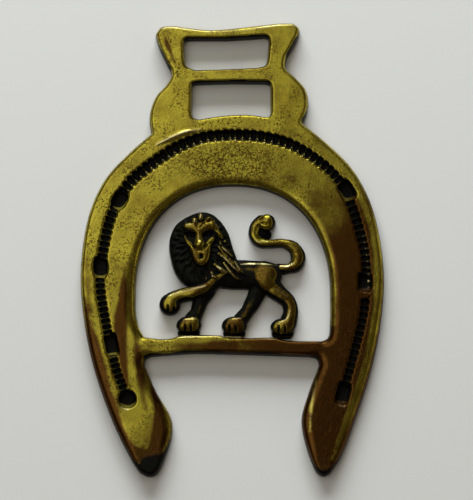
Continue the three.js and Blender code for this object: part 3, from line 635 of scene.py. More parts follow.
# eye sockets, mouth, and the folds beside the nose: x, y, reach across, reach along, depth, turn
face_hollows = [
    (-8.35, 2.65, 0.95, 0.6, 0.8, -8), (-4.75, 2.75, 1.15, 0.62, 0.8, 8),
    (-6.13, -1.65, 0.42, 0.6, 0.6, 0),
    (-7.5, 0.25, 0.5, 0.2, 0.45, -42), (-5.42, 0.5, 0.5, 0.2, 0.45, 42)]
eyeballs = [(-8.35, 2.6, 3.15, 0.5, 0.3, 0.25, -8), (-4.7, 2.7, 3.15, 0.55, 0.3, 0.25, 8)]
print(len(long_locks), "long locks, and", len(face_ridges + face_lumps), "raised forms on the face")

# %% The mane with its face
# the mane rises from this share of its height at its edge to all of it this far inside
MANE_RIM = 0.55
MANE_ROUND = 1.4
# strands round the face: how many, how many finer ones between them, and how high they stand
STRANDS = 20
FINE_STRANDS = 33
STRAND_HEIGHT = 0.18
MUZZLE_TOP = 4.25


def cushion(at, ring, top, drop, rounding):
    """A flat-topped form inside a ring, whose edge is rounded down by a drop."""
    depth = inside_ring(at, ring)
    return top - drop * (1 - round_rise(1 - np.clip(depth / rounding, 0, 1))) + fall(depth)


def strands(at, depth):
    """How far the strands of the mane stand out, fanned round the face and broken up in rows."""
    dx, dy = at[:, 0] - FACE[0], at[:, 1] - FACE[1]
    angle, reach = np.arctan2(dy, dx), np.hypot(dx, dy)
    coarse = np.sin(STRANDS * angle + 1.8 * np.sin(reach * 1.3))
    fine = 0.5 * np.sin(FINE_STRANDS * angle - 1.5 * reach)
    rows = 0.65 + 0.35 * np.sin(2.6 * reach + 2.4 * np.sin(5 * angle))
    return STRAND_HEIGHT * (coarse + fine) * rows * smoothstep(depth, 0.1, 0.9)


def mane_and_face(at):
    """The mane with the face on it: its depth and its height."""
    depth = inside_ring(at, mane_edge)
    rise = 1 - np.clip(depth / MANE_ROUND, 0, 1)
    height = LION_MANE * (MANE_RIM + (1 - MANE_RIM) * round_rise(rise)) + fall(depth)
    height += strands(at, depth)
    height = soft_max(height, cushion(at, face_edge, LION_FACE, drop=0.9, rounding=0.8), reach=0.2)
    height = soft_max(height, cushion(at, muzzle_edge, MUZZLE_TOP, drop=0.65, rounding=0.9), reach=0.15)
    for lock in long_locks:
        height = soft_max(height, limb(at, lock, crown=0.5)[1], reach=0.08)
    for ridge in face_ridges:
        height = soft_max(height, limb(at, ridge, crown=0.45)[1], reach=0.15)
    for item in face_lumps:
        height = soft_max(height, lump(at, *item), reach=0.12)
    for hollow in face_hollows:
        height -= dent(at, *hollow)
    for ball in eyeballs:
        height = soft_max(height, lump(at, *ball), reach=0.05)
    return depth, height


print("the middle of the face stands", round(mane_and_face(np.array([FACE]))[1][0], 2), "mm high")

# %% The whole lion
# a web of metal under each standing paw: its height in the plan, half width and share of the paw
WEB_Y = -16.5
WEB_HALF = 1.2
WEB_SHARE = 0.4
# a slit between two toes: reach across, reach along, depth
TOE_SLIT = (0.28, 0.95, 0.6)


def grown(forms, reach):
    """Forms grown together: the depth inside any of them, and their softly merged height."""
    depth, height = forms[0]
    for form_depth, form_height in forms[1:]:
        depth = np.maximum(depth, form_depth)
        height = soft_max(height, form_height, reach)
    return depth, height


def web(at, x, reach):
    """A thin web of metal that joins a standing paw to the bar."""
    ends = [(x + side * reach * WEB_SHARE, WEB_Y, WEB_HALF, LION_WEB) for side in (-1, 1)]
    return limb(at, ends, crown=0.3)


def lion(at):
    """The walking lion: its depth and its height."""
    haunch = mound(at, 6.5, -5.3, 2.6, 3.1, LION_HAUNCH, turn=14)
    near_side = [limb(at, body_forms[n]) for n in (0, 1, 4)] + [haunch]
    far_side = [limb(at, body_forms[n]) for n in (2, 3)]
    feet = [mound(at, *paw[:5]) for paw in paws]
    webs = [web(at, x, reach) for x, _, reach, _, _, _ in paws[1:]]
    tuft = mound(at, 6.8, 5.4, 1.75, 1.65, 3.1)
    under_tuft = mound(at, 6.0, 3.1, 1.8, 1.3, LION_WEB)
    tail = [limb(at, tail_path), tuft, under_tuft]
    depth, height = grown([grown(near_side, 0.6), *far_side, *feet, *webs, grown(tail, 0.3)], 0.2)
    depth, height = grown([(depth, height), mane_and_face(at)], 0.15)
    for *_, toes in paws:
        for x, y in toes:
            height -= dent(at, x, y, *TOE_SLIT)
    # the fold where the tuft curls over
    height -= dent(at, 6.3, 5.0, 0.7, 0.3, 0.5, turn=-10)
    return depth, height


print("the haunch stands", round(lion(np.array([[6.5, -5.3]]))[1][0], 2), "mm high")

# %% The whole relief
# left, right, lower and upper side of the area that the lion lies in
LION_BOX = (-15.0, 15.6, -18.6, 8.2)
# the rim of the sheet lies this much nearer to the outline along the lion than along the plate
LION_EDGE = 0.12
# the raised lip left of the crown: x, y, half width, top
lip = [
    (-15.0, 20.8, 0.3, 3.05), (-12.4, 22.0, 0.45, 3.3), (-9.6, 23.15, 0.45, 3.3), (-6.4, 23.75, 0.3, 3.05)]


def near_lion(at):
    """Which places lie in the area of the lion."""
    x, y = at.T
    return (x > LION_BOX[0]) & (x < LION_BOX[1]) & (y > LION_BOX[2]) & (y < LION_BOX[3])


def casting(at):
    """Depth inside the whole outline, and height over the back, at each place of the plan."""
    depth, height = plate(at)
    height = soft_max(height, limb(at, lip, crown=0.4)[1], reach=0.2)
    height -= cuts(at)
    near = near_lion(at)
    lion_depth, lion_height = lion(at[near])
    depth[near] = np.maximum(depth[near], lion_depth + LION_EDGE)
    height[near] = soft_max(height[near], lion_height)
    return depth, height


print("the lip stands", round(casting(np.array([[-11.0, 22.6]]))[1][0], 2), "mm high")

# %% [markdown]
# ## The mesh
# Sand takes up every form of the pattern in one skin, so the mesh is one skin too. It could be
# built from solids and joined, but a relief this irregular is quickest as a fine grid that is
# trimmed to the outline, as a sheet of clay is cut round a template. The grid is added over the
# whole brass, faces outside the outline are deleted, and the cells near the lion and the groove are
# divided once more, because a ridge of the groove is hardly wider than two coarse cells.

# %% Reading points
def read_points(mesh):
    """Places of all points of a mesh, in metres."""
    points = np.zeros(len(mesh.vertices) * 3)
    mesh.vertices.foreach_get("co", points)
    return points.reshape(-1, 3)


def write_points(mesh, points):
    """Moves all points of a mesh."""
    mesh.vertices.foreach_set("co", points.ravel())
    mesh.update()


def face_middles(mesh):
    """Middles of all faces in the plan, in millimetres."""
    middles = np.zeros(len(mesh.polygons) * 3)
    mesh.polygons.foreach_get("center", middles)
    return middles.reshape(-1, 3)[:, :2] / MM


print("places are kept in metres in a mesh, and worked out in units of", MM, "m")

# %% Selecting
def in_edit_mode(*steps):
    """Takes steps one after the other in edit mode."""
    bpy.ops.object.mode_set(mode="EDIT")
    for step in steps:
        step()
    bpy.ops.object.mode_set(mode="OBJECT")


def select_faces(mesh, chosen):
    """Selects faces by a mask, and nothing else."""
    in_edit_mode(lambda: bpy.ops.mesh.select_mode(type="FACE"),
                 lambda: bpy.ops.mesh.select_all(action="DESELECT"))
    mesh.polygons.foreach_set("select", np.asarray(chosen, bool))


def selected_points(mesh):
    """A mask of the points that are selected."""
    chosen = np.zeros(len(mesh.vertices), bool)
    mesh.vertices.foreach_get("select", chosen)
    return chosen


def select_rim():
    """Selects the edges that only one face has."""
    bpy.ops.mesh.select_mode(type="EDGE")
    bpy.ops.mesh.select_non_manifold(extend=False, use_wire=False, use_boundary=True,
                                     use_multi_face=False, use_non_contiguous=False, use_verts=False)


print("the scene has", len(bpy.data.meshes), "meshes before the casting is made")

# %% Trim a grid to the outline
CELL = 0.25
# the sheet ends this far inside the outline, where the walls of the casting begin
SHEET_EDGE = 0.25
HALF_SHEET = (30.5, 46.0)

bpy.ops.object.select_all(action="DESELECT")
bpy.ops.mesh.primitive_grid_add(x_subdivisions=round(2 * HALF_SHEET[0] / CELL),
                                y_subdivisions=round(2 * HALF_SHEET[1] / CELL), size=2, location=(0, 0, 0))
brass = bpy.context.object
brass.name = "brass_casting"
in_edit_mode(lambda: bpy.ops.transform.resize(value=(HALF_SHEET[0] * MM, HALF_SHEET[1] * MM, 1)))
print("a grid of", len(brass.data.polygons), "cells")

depth, _ = casting(face_middles(brass.data))
select_faces(brass.data, depth < SHEET_EDGE - CELL)
in_edit_mode(lambda: bpy.ops.mesh.delete(type="FACE"))
print("trimmed to", len(brass.data.polygons))

# %% Divide the cells of the lion and the groove
# the fine cells reach this far round the lion, and to where a cut is this deep
ROUND_LION = 0.4
CUT_TRACE = 0.02
# how far outside the edge of the sheet a cell may have its middle
RAGGED = 0.04

middles = face_middles(brass.data)
fine = np.zeros(len(middles), bool)
near = near_lion(middles)
fine[near] = lion(middles[near])[0] > -ROUND_LION
fine |= cuts(middles) > CUT_TRACE
select_faces(brass.data, fine)
in_edit_mode(lambda: bpy.ops.mesh.subdivide(number_cuts=1))
depth, _ = casting(face_middles(brass.data))
select_faces(brass.data, depth < SHEET_EDGE - RAGGED)
in_edit_mode(lambda: bpy.ops.mesh.delete(type="FACE"))
print("after dividing", len(brass.data.polygons))

# %% [markdown]
# ## The rim
# The real edge is a clean line, but the trimmed grid ends in steps. It could be cut along the line
# with a boolean, which leaves slivers. Moving the points of the rim is gentler: each one slides
# straight out or in until it lies at the right depth, points that met on the way are merged, and
# the cells beside the rim are evened out so that none of them is squashed.

# %% Move the rim of the sheet onto the outline
# the step by which the direction out of the casting is measured
NUDGE = 0.04
RIM_PASSES = 3
SHORTEST = 1e-6


def outward(at):
    """The direction out of the casting at each place, and the depth there."""
    east, north = np.array([NUDGE, 0]), np.array([0, NUDGE])
    slope = np.stack([casting(at + east)[0] - casting(at - east)[0],
                      casting(at + north)[0] - casting(at - north)[0]], axis=1)
    return -slope / np.maximum(np.hypot(*slope.T), SHORTEST)[:, None], casting(at)[0]


in_edit_mode(select_rim)
rim = selected_points(brass.data)
points = read_points(brass.data)
for _ in range(RIM_PASSES):
    place = points[rim, :2] / MM
    out, depth = outward(place)
    points[rim, :2] = (place + out * (depth - SHEET_EDGE)[:, None]) * MM
write_points(brass.data, points)
_, depth = outward(points[rim, :2] / MM)
off_line = abs(depth - SHEET_EDGE).max()
print("the rim has", rim.sum(), "points, at most", round(off_line, 3), "mm off its line")

# %% Merge the points that met
TOO_CLOSE = 0.03

in_edit_mode(select_rim, lambda: bpy.ops.mesh.remove_doubles(threshold=TOO_CLOSE * MM), select_rim)
rim = selected_points(brass.data)
points = read_points(brass.data)
print("merged down to", rim.sum())

# %% Even out the cells beside the rim
EVEN_PASSES = 6
EVEN_STEP = 0.5

in_edit_mode(select_rim, lambda: bpy.ops.mesh.select_more(), lambda: bpy.ops.mesh.select_more())
beside = selected_points(brass.data) & ~rim
ends = np.zeros(len(brass.data.edges) * 2, int)
brass.data.edges.foreach_get("vertices", ends)
ends = ends.reshape(-1, 2)
for _ in range(EVEN_PASSES):
    total = np.zeros_like(points)
    count = np.zeros(len(points))
    for a, b in (ends.T, ends.T[::-1]):
        np.add.at(total, a, points[b])
        np.add.at(count, a, 1)
    even = total / np.maximum(count, 1)[:, None]
    points[beside] += EVEN_STEP * (even[beside] - points[beside])
write_points(brass.data, points)
print(beside.sum(), "points beside the rim were evened out")

# %% [markdown]
# ## Relief, walls and back
# A pattern has to leave the sand, so its walls lean, and its back is flat because that side lay on
# the moulding board. The flat sheet could be displaced by a modifier, but the heights are known as
# numbers, so they are written to the points. The rim is then extruded down in four steps, each a
# little further out, and the last ring is filled as the back.

# %% Raise the relief
# the lowest that the relief may lie, and how far its top stays under the top of the box
LOWEST = 0.4
UNDER_TOP = 0.01

points = read_points(brass.data)
points[:, 2] = casting(points[:, :2] / MM)[1] * MM
points[:, 2] = np.clip(points[:, 2], LOWEST * MM, brass_high.z - UNDER_TOP * MM)
write_points(brass.data, points)
low, high = points[:, 2].min() / MM, points[:, 2].max() / MM
print("the relief stands", round(low, 2), "to", round(high, 2), "mm high")

# %% Walls and back
# share of the rim's height, and how far outside the rim, from the top of the wall to the back
WALL_STEPS = [(0.66, 0.05), (0.33, 0.1), (0.06, 0.14), (0.0, 0.06)]

top_height = None
last_offset = 0.0
for share, offset in WALL_STEPS:
    in_edit_mode(select_rim, lambda: bpy.ops.mesh.extrude_edges_indiv())
    points = read_points(brass.data)
    new = selected_points(brass.data)
    if top_height is None:
        top_height = points[new, 2].copy()
        out, _ = outward(points[new, :2] / MM)
    points[new, :2] += out * (offset - last_offset) * MM
    points[new, 2] = top_height * share
    write_points(brass.data, points)
    last_offset = offset
print("walls bring it to", len(brass.data.polygons), "faces")

# %% Fill the back
in_edit_mode(select_rim, lambda: bpy.ops.mesh.mark_sharp(), lambda: bpy.ops.mesh.fill(use_beauty=True),
             lambda: bpy.ops.mesh.select_all(action="SELECT"),
             lambda: bpy.ops.mesh.normals_make_consistent(inside=False))
in_edit_mode(select_rim)
print("open edges left:", selected_points(brass.data).sum())
brass.data.calc_loop_triangles()
print("triangles:", len(brass.data.loop_triangles))

# %% [markdown]
# ## Where the metal is dark, and where shade and highlights are painted
# Brass darkens all over, and polishing only reaches what stands proud. So each point of the mesh
# gets four amounts: black, which is patina in the hollows and painted shade on walls, under forms
# and on the heels; brown, which is mostly a painted darker reflection; bright, which is mostly painted
# highlights; and crazed lacquer. A pointiness or occlusion node could find the hollows, but only while
# rendering and for one width of hollow. Here black follows the height against the mean height round
# about, which stays with the mesh.

# %% Spreading and sampling
# the step of the grid of heights, and how wide the surroundings of a place are
RASTER = 0.2
SPREAD = 0.9
# the bell curve is cut off at this many spreads
BELL_REACH = 3


def smear(grid):
    """Spreads a grid over its neighbours, by a bell curve both ways."""
    reach = int(BELL_REACH * SPREAD / RASTER)
    bell = np.exp(-0.5 * (np.arange(-reach, reach + 1) * RASTER / SPREAD) ** 2)
    for axis in (0, 1):
        grid = np.apply_along_axis(lambda line: np.convolve(line, bell, mode="same"), axis, grid)
    return grid


def sampled(grid, low, at):
    """Values of a grid at places between its points."""
    step = (at - low) / RASTER
    cell = np.clip(step.astype(int), 0, np.array(grid.shape)[::-1] - 2)
    u, v = (step - cell).T
    i, j = cell.T
    return ((grid[j, i] * (1 - u) + grid[j, i + 1] * u) * (1 - v)
            + (grid[j + 1, i] * (1 - u) + grid[j + 1, i + 1] * u) * v)


print("a place is compared with", 2 * SPREAD, "mm of relief round about")

# %% Height against the surroundings
# places deeper inside the outline than this count as metal
METAL_DEPTH = 0.2
LEAST_METAL = 1e-3

columns = np.arange(LION_BOX[0], LION_BOX[1] + RASTER, RASTER)
rows = np.arange(LION_BOX[2], LION_BOX[3] + RASTER, RASTER)
raster = np.stack(np.meshgrid(columns, rows), axis=-1).reshape(-1, 2)
raster_depth, raster_height = (field.reshape(len(rows), len(columns)) for field in casting(raster))
metal = (raster_depth > METAL_DEPTH).astype(float)
mean_height = smear(raster_height * metal) / np.maximum(smear(metal), LEAST_METAL)

points = read_points(brass.data)
place = points[:, :2] / MM
height = points[:, 2] / MM
normals = np.zeros(len(points) * 3)
brass.data.vertices.foreach_get("normal", normals)
normals = normals.reshape(-1, 3)
near = near_lion(place)
proud = np.zeros(len(points))
proud[near] = height[near] - sampled(mean_height, np.array([LION_BOX[0], LION_BOX[2]]), place[near])
print("the lion stands", round(proud.min(), 2), "to", round(proud.max(), 2), "mm over its surroundings")

# %% [markdown]
# ## Strokes of colour
# Brown, black and bright places don't follow a rule. A few are wear, such as the scratches on the
# hanger and in the right heel, but most are painted shade, painted reflection and painted highlights,
# laid where the metal faces away from the lamps or towards them. They could be painted onto the mesh
# by hand, but then the colours would be lost with every change of its points. Strokes with named
# places are laid on like paint instead: each is a line of x, y, half width and strength, and its
# edges are soft.

# %% A stroke
def strokes(at, lines, soft=0.35):
    """Sum of soft strokes, each a line of [x, y, half width, strength] stations."""
    total = np.zeros(len(at))
    for line in lines:
        depth, _, _, strength, _ = along_path(at, line, per_span=4)
        total += strength * smoothstep(depth, -soft, soft)
    return total


print("a stroke over the origin gives", strokes(origin, [[(-2, 0, 1, 0.5), (2, 0, 1, 0.5)]])[0])

# %% Strokes of brown, mostly painted reflection
# strength below nothing takes brown away
brown_reflection_and_wear_strokes = [
    # painted darker reflection in a wedge beside the groove of the left arm
    [(-21.2, -4, 0.1, 1), (-21.6, -9, 0.8, 1), (-22.0, -15.2, 1.5, 1), (-21.7, -20, 1.0, 1),
     (-20.8, -27, 0.5, 1)],
    # painted darker reflection on the shoulder of the left leg, its dark inner side, and the band that
    # ends round the tongue of the heel
    [(-29.2, -10, 0.3, 0.7), (-27.2, -20, 1.4, 1), (-24.4, -30, 1.4, 1), (-20.4, -40, 1.5, 1),
     (-17.3, -41.0, 1.2, 1)],
    [(-17.6, -19, 0.1, 0.4), (-16.6, -24, 0.5, 0.7), (-14.6, -31, 0.8, 1), (-14.4, -36, 1.0, 1),
     (-15.6, -41.5, 1.0, 1)],
    [(-24.9, -17, 0.15, 0.6), (-23.6, -24, 0.25, 0.7), (-21.6, -32, 0.25, 0.6)],
    [(-19.8, -8, 0.3, 0.3), (-19.3, -16, 0.5, 0.7), (-18.2, -24, 0.9, 0.9), (-17.4, -30, 0.7, 0.7),
     (-16.4, -33, 0.3, 0.4)],
    # painted darker reflection on the mottled outer rim of the left arm, and on the left end of the bar
    [(-26.6, 13, 0.1, 0.2), (-28.4, 6, 0.6, 0.45), (-28.8, -4, 0.8, 0.5), (-28.0, -12, 0.6, 0.5)],
    [(-16, -19.4, 0.5, 0.4), (-8, -19.4, 0.9, 0.6), (0, -19.4, 0.9, 0.6)],
    # painted shade on the upper edge of the cross bar of the hanger
    [(-8, 35.5, 0.2, 0.6), (0, 35.7, 0.3, 0.9), (8, 36.1, 0.2, 0.6)],
    # painted shade that dims the tail tuft and the bend of the tail
    [(6.0, 5.9, 0.6, 0.35), (7.4, 5.6, 0.6, 0.35)], [(13.0, -2.0, 0.8, 0.3), (12.4, 0.0, 0.6, 0.3)],
    # the right rim and the right jamb of the window stay olive, a painted reflection of the lamp on the
    # right
    [(15, 22.2, 0.3, -0.6), (22.5, 15.5, 0.6, -0.8), (27.6, 5, 0.8, -1), (28.8, -6, 0.8, -1),
     (27.8, -16, 0.7, -1),
     (25.6, -25, 0.6, -1), (22.6, -33.5, 0.6, -1), (19.6, -41.5, 0.4, -0.8)],
    [(12.5, 7.5, 0.4, -0.5), (17.5, 2.5, 0.5, -0.8), (19.7, -5, 0.5, -0.9), (19.7, -15, 0.4, -0.9)],
    # rubbed streak inside the right heel, with a scratch across it
    [(16.7, -24, 0.1, -0.8), (15.6, -30, 0.3, -1), (15.2, -36, 0.1, -0.8)],
    [(14.3, -32.2, 0.02, 0.8), (15.8, -33.5, 0.02, 0.8)],
    # worn scratch on the left horn of the hanger
    [(-13.4, 42.4, 0.05, 1.1), (-13.0, 41.0, 0.2, 1.4), (-12.3, 39.3, 0.18, 1.4), (-11.5, 37.3, 0.05, 1.2)]]
# broad washes of painted shade on the right of the crown and on the hanger
brown_shade_washes = [
    [(6, 16.5, 0.8, 0.15), (12, 13.5, 1.6, 0.4), (16.5, 9.5, 1.2, 0.2)],
    [(-6.0, 34.7, 0.4, 0.2), (7.0, 34.8, 0.6, 0.22)], [(10.5, 42.0, 0.8, 0.12), (12.2, 30.0, 1.4, 0.14)],
    [(8.0, 23.9, 0.3, 0.3), (12.2, 23.2, 0.7, 0.55), (16.0, 19.6, 0.6, 0.45), (20.5, 15.6, 0.4, 0.25)]]
print(len(brown_reflection_and_wear_strokes), "strokes and", len(brown_shade_washes), "washes of brown")

# %% Strokes of painted highlight on the plate
highlight_and_streak_strokes = [
    # painted highlight on the raised lip, and a lighter streak in the right heel
    [(-15.0, 20.8, 0.15, 0.5), (-12.4, 22.05, 0.25, 0.6), (-9.6, 23.2, 0.25, 0.6),
     (-6.4, 23.75, 0.15, 0.3)],
    [(16.9, -24, 0.1, 0.1), (15.6, -30, 0.2, 0.2), (15.2, -36, 0.1, 0.1)],
    # painted highlights on the far edge of the hanger, the upper edge of the bar, and the lower rims of two
    # recesses
    [(-14.9, 43.7, 0.06, 0.5), (-12.9, 44.4, 0.12, 1), (-8.6, 43.95, 0.1, 1), (-3.0, 43.4, 0.06, 0.4),
     (2.0, 43.7, 0.06, 0.4), (7.0, 44.5, 0.1, 1), (12.0, 44.9, 0.12, 1), (13.0, 44.2, 0.06, 0.5)],
    [(-17, -17.5, 0.05, 0.8), (-11, -17.5, 0.08, 1), (-2, -17.3, 0.08, 1), (8, -17.7, 0.08, 0.9),
     (17, -18.3, 0.05, 0.9)],
    [(-22.0, -31.0, 0.05, 0.6), (-20.9, -31.7, 0.1, 1), (-19.6, -31.3, 0.05, 0.6)],
    [(21.0, -31.0, 0.03, 0.3), (22.0, -31.2, 0.06, 0.5)]]
print(len(highlight_and_streak_strokes), "rubbed strokes")

# %% Strokes of black: painted shade, with patina
shade_and_patina_strokes = [
    # painted shade with patina on the flank and belly of the lion, under the raised foreleg, and on the far
    # legs
    [(-7.0, -9.9, 0.5, 1), (-5.0, -9.2, 0.8, 1), (-3.0, -7.6, 1.0, 1), (0.2, -7.2, 1.1, 1),
     (3.2, -6.9, 1.3, 1),
     (5.2, -9.2, 0.7, 1)],
    [(2.0, -5.0, 0.5, 0.8), (3.4, -5.6, 0.7, 1)],
    [(-6.2, -10.5, 0.9, 0.9), (-7.4, -12.6, 0.7, 0.6)], [(4.9, -9.6, 0.9, 0.8), (3.6, -12.2, 0.7, 0.7)],
    # painted shade under the chin and beside the face
    [(-8.6, -2.2, 0.4, 0.8), (-7.2, -4.2, 0.5, 1), (-5.4, -4.4, 0.1, 0.8)],
    # painted shade on the left sides of the paws
    [(-14.2, -10.0, 0.3, 1), (-14.1, -12.0, 0.4, 1), (-12.4, -13.1, 0.3, 1), (-10.6, -12.2, 0.3, 1)],
    [(-10.4, -13.9, 0.4, 1), (-11.0, -15.6, 0.5, 1)], [(-1.4, -13.9, 0.3, 1), (-2.1, -15.6, 0.5, 1)],
    [(8.0, -14.4, 0.3, 0.8), (7.4, -15.8, 0.4, 1)],
    # painted shade under the paws
    [(-10.5, -16.9, 0.35, 1), (-6.7, -16.8, 0.3, 1)], [(-1.5, -17.1, 0.3, 1), (2.3, -17.2, 0.3, 1)],
    [(8.0, -17.3, 0.3, 1), (11.9, -17.6, 0.35, 1)]]
# painted shade on the ends of the heels, where they round away, in the broadest strokes
heel_shade_strokes = [
    [(-17.2, -42.0, 0.9, 1.1), (-16.7, -44.5, 2.4, 1.4)],
    [(-12.8, -39.4, 0.5, 0.9), (-14.6, -42.6, 1.4, 1.3)],
    [(18.0, -41.5, 0.8, 0.4), (18.0, -45.0, 1.8, 1)]]
print(len(shade_and_patina_strokes), "black strokes, and", len(heel_shade_strokes), "on the heels")

# %% Strokes of clean metal
# proud metal of the lion that polishing has kept clean
clean_strokes = [
    # brows, bridge, nose and muzzle
    [(-9.0, 4.4, 0.55, 1), (-8.2, 4.3, 0.7, 1), (-7.0, 3.6, 0.6, 1)],
    [(-6.3, 3.6, 0.65, 1), (-5.2, 4.35, 0.75, 1), (-4.0, 4.55, 0.7, 1), (-3.2, 4.0, 0.45, 1)],
    [(-6.6, 3.8, 0.6, 1), (-6.6, 2.2, 0.55, 1), (-6.5, 0.7, 0.95, 1)],
    [(-5.45, 5.0, 0.3, 1), (-4.75, 5.8, 0.4, 1), (-3.8, 5.35, 0.28, 1)],
    [(-6.26, 6.55, 0.35, 1), (-6.26, 5.75, 0.4, 1)], [(-7.35, 5.65, 0.35, 1), (-7.5, 5.05, 0.4, 1)],
    [(-8.9, 1.4, 0.25, 0.5), (-8.4, 0.7, 0.45, 0.75), (-8.0, 0.1, 0.4, 0.7)],
    [(-5.0, 0.5, 0.4, 0.75), (-4.4, 1.2, 0.5, 0.75), (-3.9, 1.9, 0.3, 0.5)],
    [(-7.1, 4.6, 0.3, 0.8), (-6.3, 4.6, 0.45, 0.9), (-5.6, 4.9, 0.3, 0.8)],
    [(-3.0, 3.4, 0.25, 0.8), (-2.3, 2.4, 0.25, 0.8)],
    # shoulder and raised foreleg, and its paw
    [(-1.2, -4.7, 0.15, 0.5), (-2.4, -5.3, 0.3, 0.8), (-3.3, -5.9, 0.35, 0.85), (-4.3, -6.8, 0.5, 0.9),
     (-5.3, -7.7, 0.7, 1), (-7.0, -8.3, 0.7, 1),
     (-9.3, -8.6, 0.7, 1), (-11.6, -9.6, 0.8, 1), (-12.4, -10.8, 0.9, 1)],
    # near hind leg and the tail
    [(8.0, -7.6, 0.7, 1), (8.7, -8.4, 0.8, 1), (10.9, -9.8, 0.7, 1), (11.7, -11.2, 0.6, 1),
     (11.6, -13.2, 0.7, 1),
     (11.2, -15.0, 0.8, 1)],
    [(9.6, -3.6, 0.4, 0.8), (11.6, -3.4, 0.7, 1), (12.9, -2.0, 1.0, 1), (12.4, 0.0, 0.9, 1),
     (10.0, 1.3, 0.6, 1),
     (7.4, 1.3, 0.5, 1), (5.3, 1.7, 0.6, 1), (4.4, 3.0, 0.6, 1), (4.8, 4.6, 0.8, 1), (6.6, 5.9, 0.9, 1)],
    # paws
    [(-9.2, -14.3, 0.4, 0.9), (-7.4, -14.2, 0.6, 0.9)], [(-0.4, -14.4, 0.5, 0.9), (1.0, -14.6, 0.9, 0.9)],
    [(8.9, -15.0, 0.4, 0.9), (10.4, -14.8, 0.7, 0.9)]]
# broader places on the lion where the clean metal fades out: back, haunch, shoulder and far legs;
# on the back and the far legs these are painted sheen
faded_clean_and_sheen_strokes = [
    [(1.8, -4.0, 0.3, 0.4), (4.2, -4.1, 0.4, 0.5)],
    [(4.4, -5.3, 0.1, 0.35), (5.6, -4.9, 0.6, 0.8), (7.3, -5.1, 0.8, 1)],
    [(5.2, -6.0, 0.3, 0.5), (6.4, -6.0, 0.8, 1), (7.0, -7.1, 0.8, 1), (8.0, -8.0, 0.5, 1)],
    [(-0.4, -4.8, 0.2, 0.5), (0.7, -5.8, 0.3, 0.55)],
    [(4.1, -10.1, 0.15, 0.5), (3.1, -12.4, 0.15, 0.55)],
    [(-6.3, -11.3, 0.15, 0.5), (-6.8, -12.7, 0.1, 0.5)]]
print(len(clean_strokes), "clean strokes, and", len(faded_clean_and_sheen_strokes), "faded ones")

# %% Strokes of painted highlight on the lion
# painted highlights on crests of the lion that face the lamps
painted_highlight_strokes = [
    [(-3.2, -3.5, 0.1, 0.7), (-2.1, -4.2, 0.2, 1), (-1.4, -4.7, 0.1, 0.7)],
    [(-2.2, -1.4, 0.06, 0.6), (-1.0, -2.4, 0.12, 0.8), (0.3, -3.8, 0.1, 0.7), (1.1, -4.5, 0.05, 0.5)],
    [(-2.0, 0.3, 0.05, 0.5), (-1.4, -0.4, 0.1, 0.6), (-0.3, -1.3, 0.05, 0.5)],
    [(-1.5, -3.1, 0.06, 0.5), (-0.4, -4.7, 0.1, 0.6), (0.6, -5.8, 0.05, 0.4)],
    [(0.6, -2.9, 0.05, 0.5), (1.4, -4.2, 0.08, 0.5)],
    [(-4.1, -4.7, 0.08, 0.7), (-3.9, -5.5, 0.12, 0.9)], [(-5.4, -5.2, 0.06, 0.5), (-5.2, -6.0, 0.08, 0.6)],
    [(-9.8, -14.1, 0.05, 0.3), (-7.2, -13.8, 0.08, 0.5)],
    [(-0.8, -13.8, 0.05, 0.3), (1.6, -13.7, 0.08, 0.5)],
    [(11.4, -12.2, 0.05, 0.4), (10.8, -13.7, 0.1, 0.7), (9.0, -14.9, 0.05, 0.5)],
    [(9.3, -3.4, 0.06, 0.6), (10.9, -3.4, 0.14, 1), (12.0, -2.7, 0.12, 0.9)],
    [(4.4, 1.9, 0.05, 0.3), (5.0, 1.4, 0.1, 0.6), (7.0, 1.6, 0.05, 0.3)],
    [(-9.0, 4.6, 0.1, 0.3), (-8.3, 4.6, 0.1, 0.3)], [(-7.4, 5.7, 0.1, 0.4), (-7.5, 5.2, 0.2, 0.3)],
    [(-6.26, 6.5, 0.15, 0.6), (-6.26, 5.9, 0.2, 0.4)],
    [(-6.6, 2.8, 0.1, 0.2), (-6.5, 1.0, 0.25, 0.1)],
    [(-12.9, -9.4, 0.15, 0.4), (-9.6, -8.4, 0.15, 0.5), (-5.3, -7.4, 0.12, 0.5)],
    [(8.6, -8.0, 0.08, 0.4), (11.0, -9.5, 0.1, 0.4)]]
# the thin painted sheen along the back of the lion
back_sheen = [
    [(1.6, -3.05, 0.14, 0.8), (3.2, -2.95, 0.22, 1), (6.0, -3.0, 0.16, 0.9), (8.8, -3.3, 0.08, 0.7)]]
print(len(painted_highlight_strokes), "bright crests")

# %% [markdown]
# ## The four amounts
# Now the strokes, the heights and the directions that the metal faces come together in the four
# amounts of each point. They could be mixed with nodes, but sums over all points at once are
# shorter and can be measured. In what follows, the two numbers after a value say where a share
# starts and where it is complete, in millimetres or as a part of a direction of length 1.

# %% Where each point lies
# the lion stops where its paws meet the bar
BAR_LINE = -17.2
FAR_OUTSIDE = -9.0

x, y = place.T
cut = cuts(place)
lion_depth = np.full(len(points), FAR_OUTSIDE)
lion_depth[near] = lion(place[near])[0]
on_lion = smoothstep(lion_depth, -0.3, 0.2) * (y > BAR_LINE)
print("share of the points on the lion:", round(on_lion.mean(), 2))

# %% Painted shade on walls and edges
# painted shade: steep walls are painted half black all round and fully black where they face the heels,
# while edges that face beyond the hanger, towards the lamps, stay bright
faces_away = smoothstep(normals[:, 1], 0.15, 0.5)
faces_heels = smoothstep(-normals[:, 1], 0.12, 0.5)
upright = 1 - smoothstep(normals[:, 2], 0.05, 0.3)
steep = (1 - smoothstep(normals[:, 2], 0.3, 0.72)) * (1 - 0.9 * faces_away)
outside_window = smoothstep(-inside_ring(place, window_edge), 2.5, 3.5)
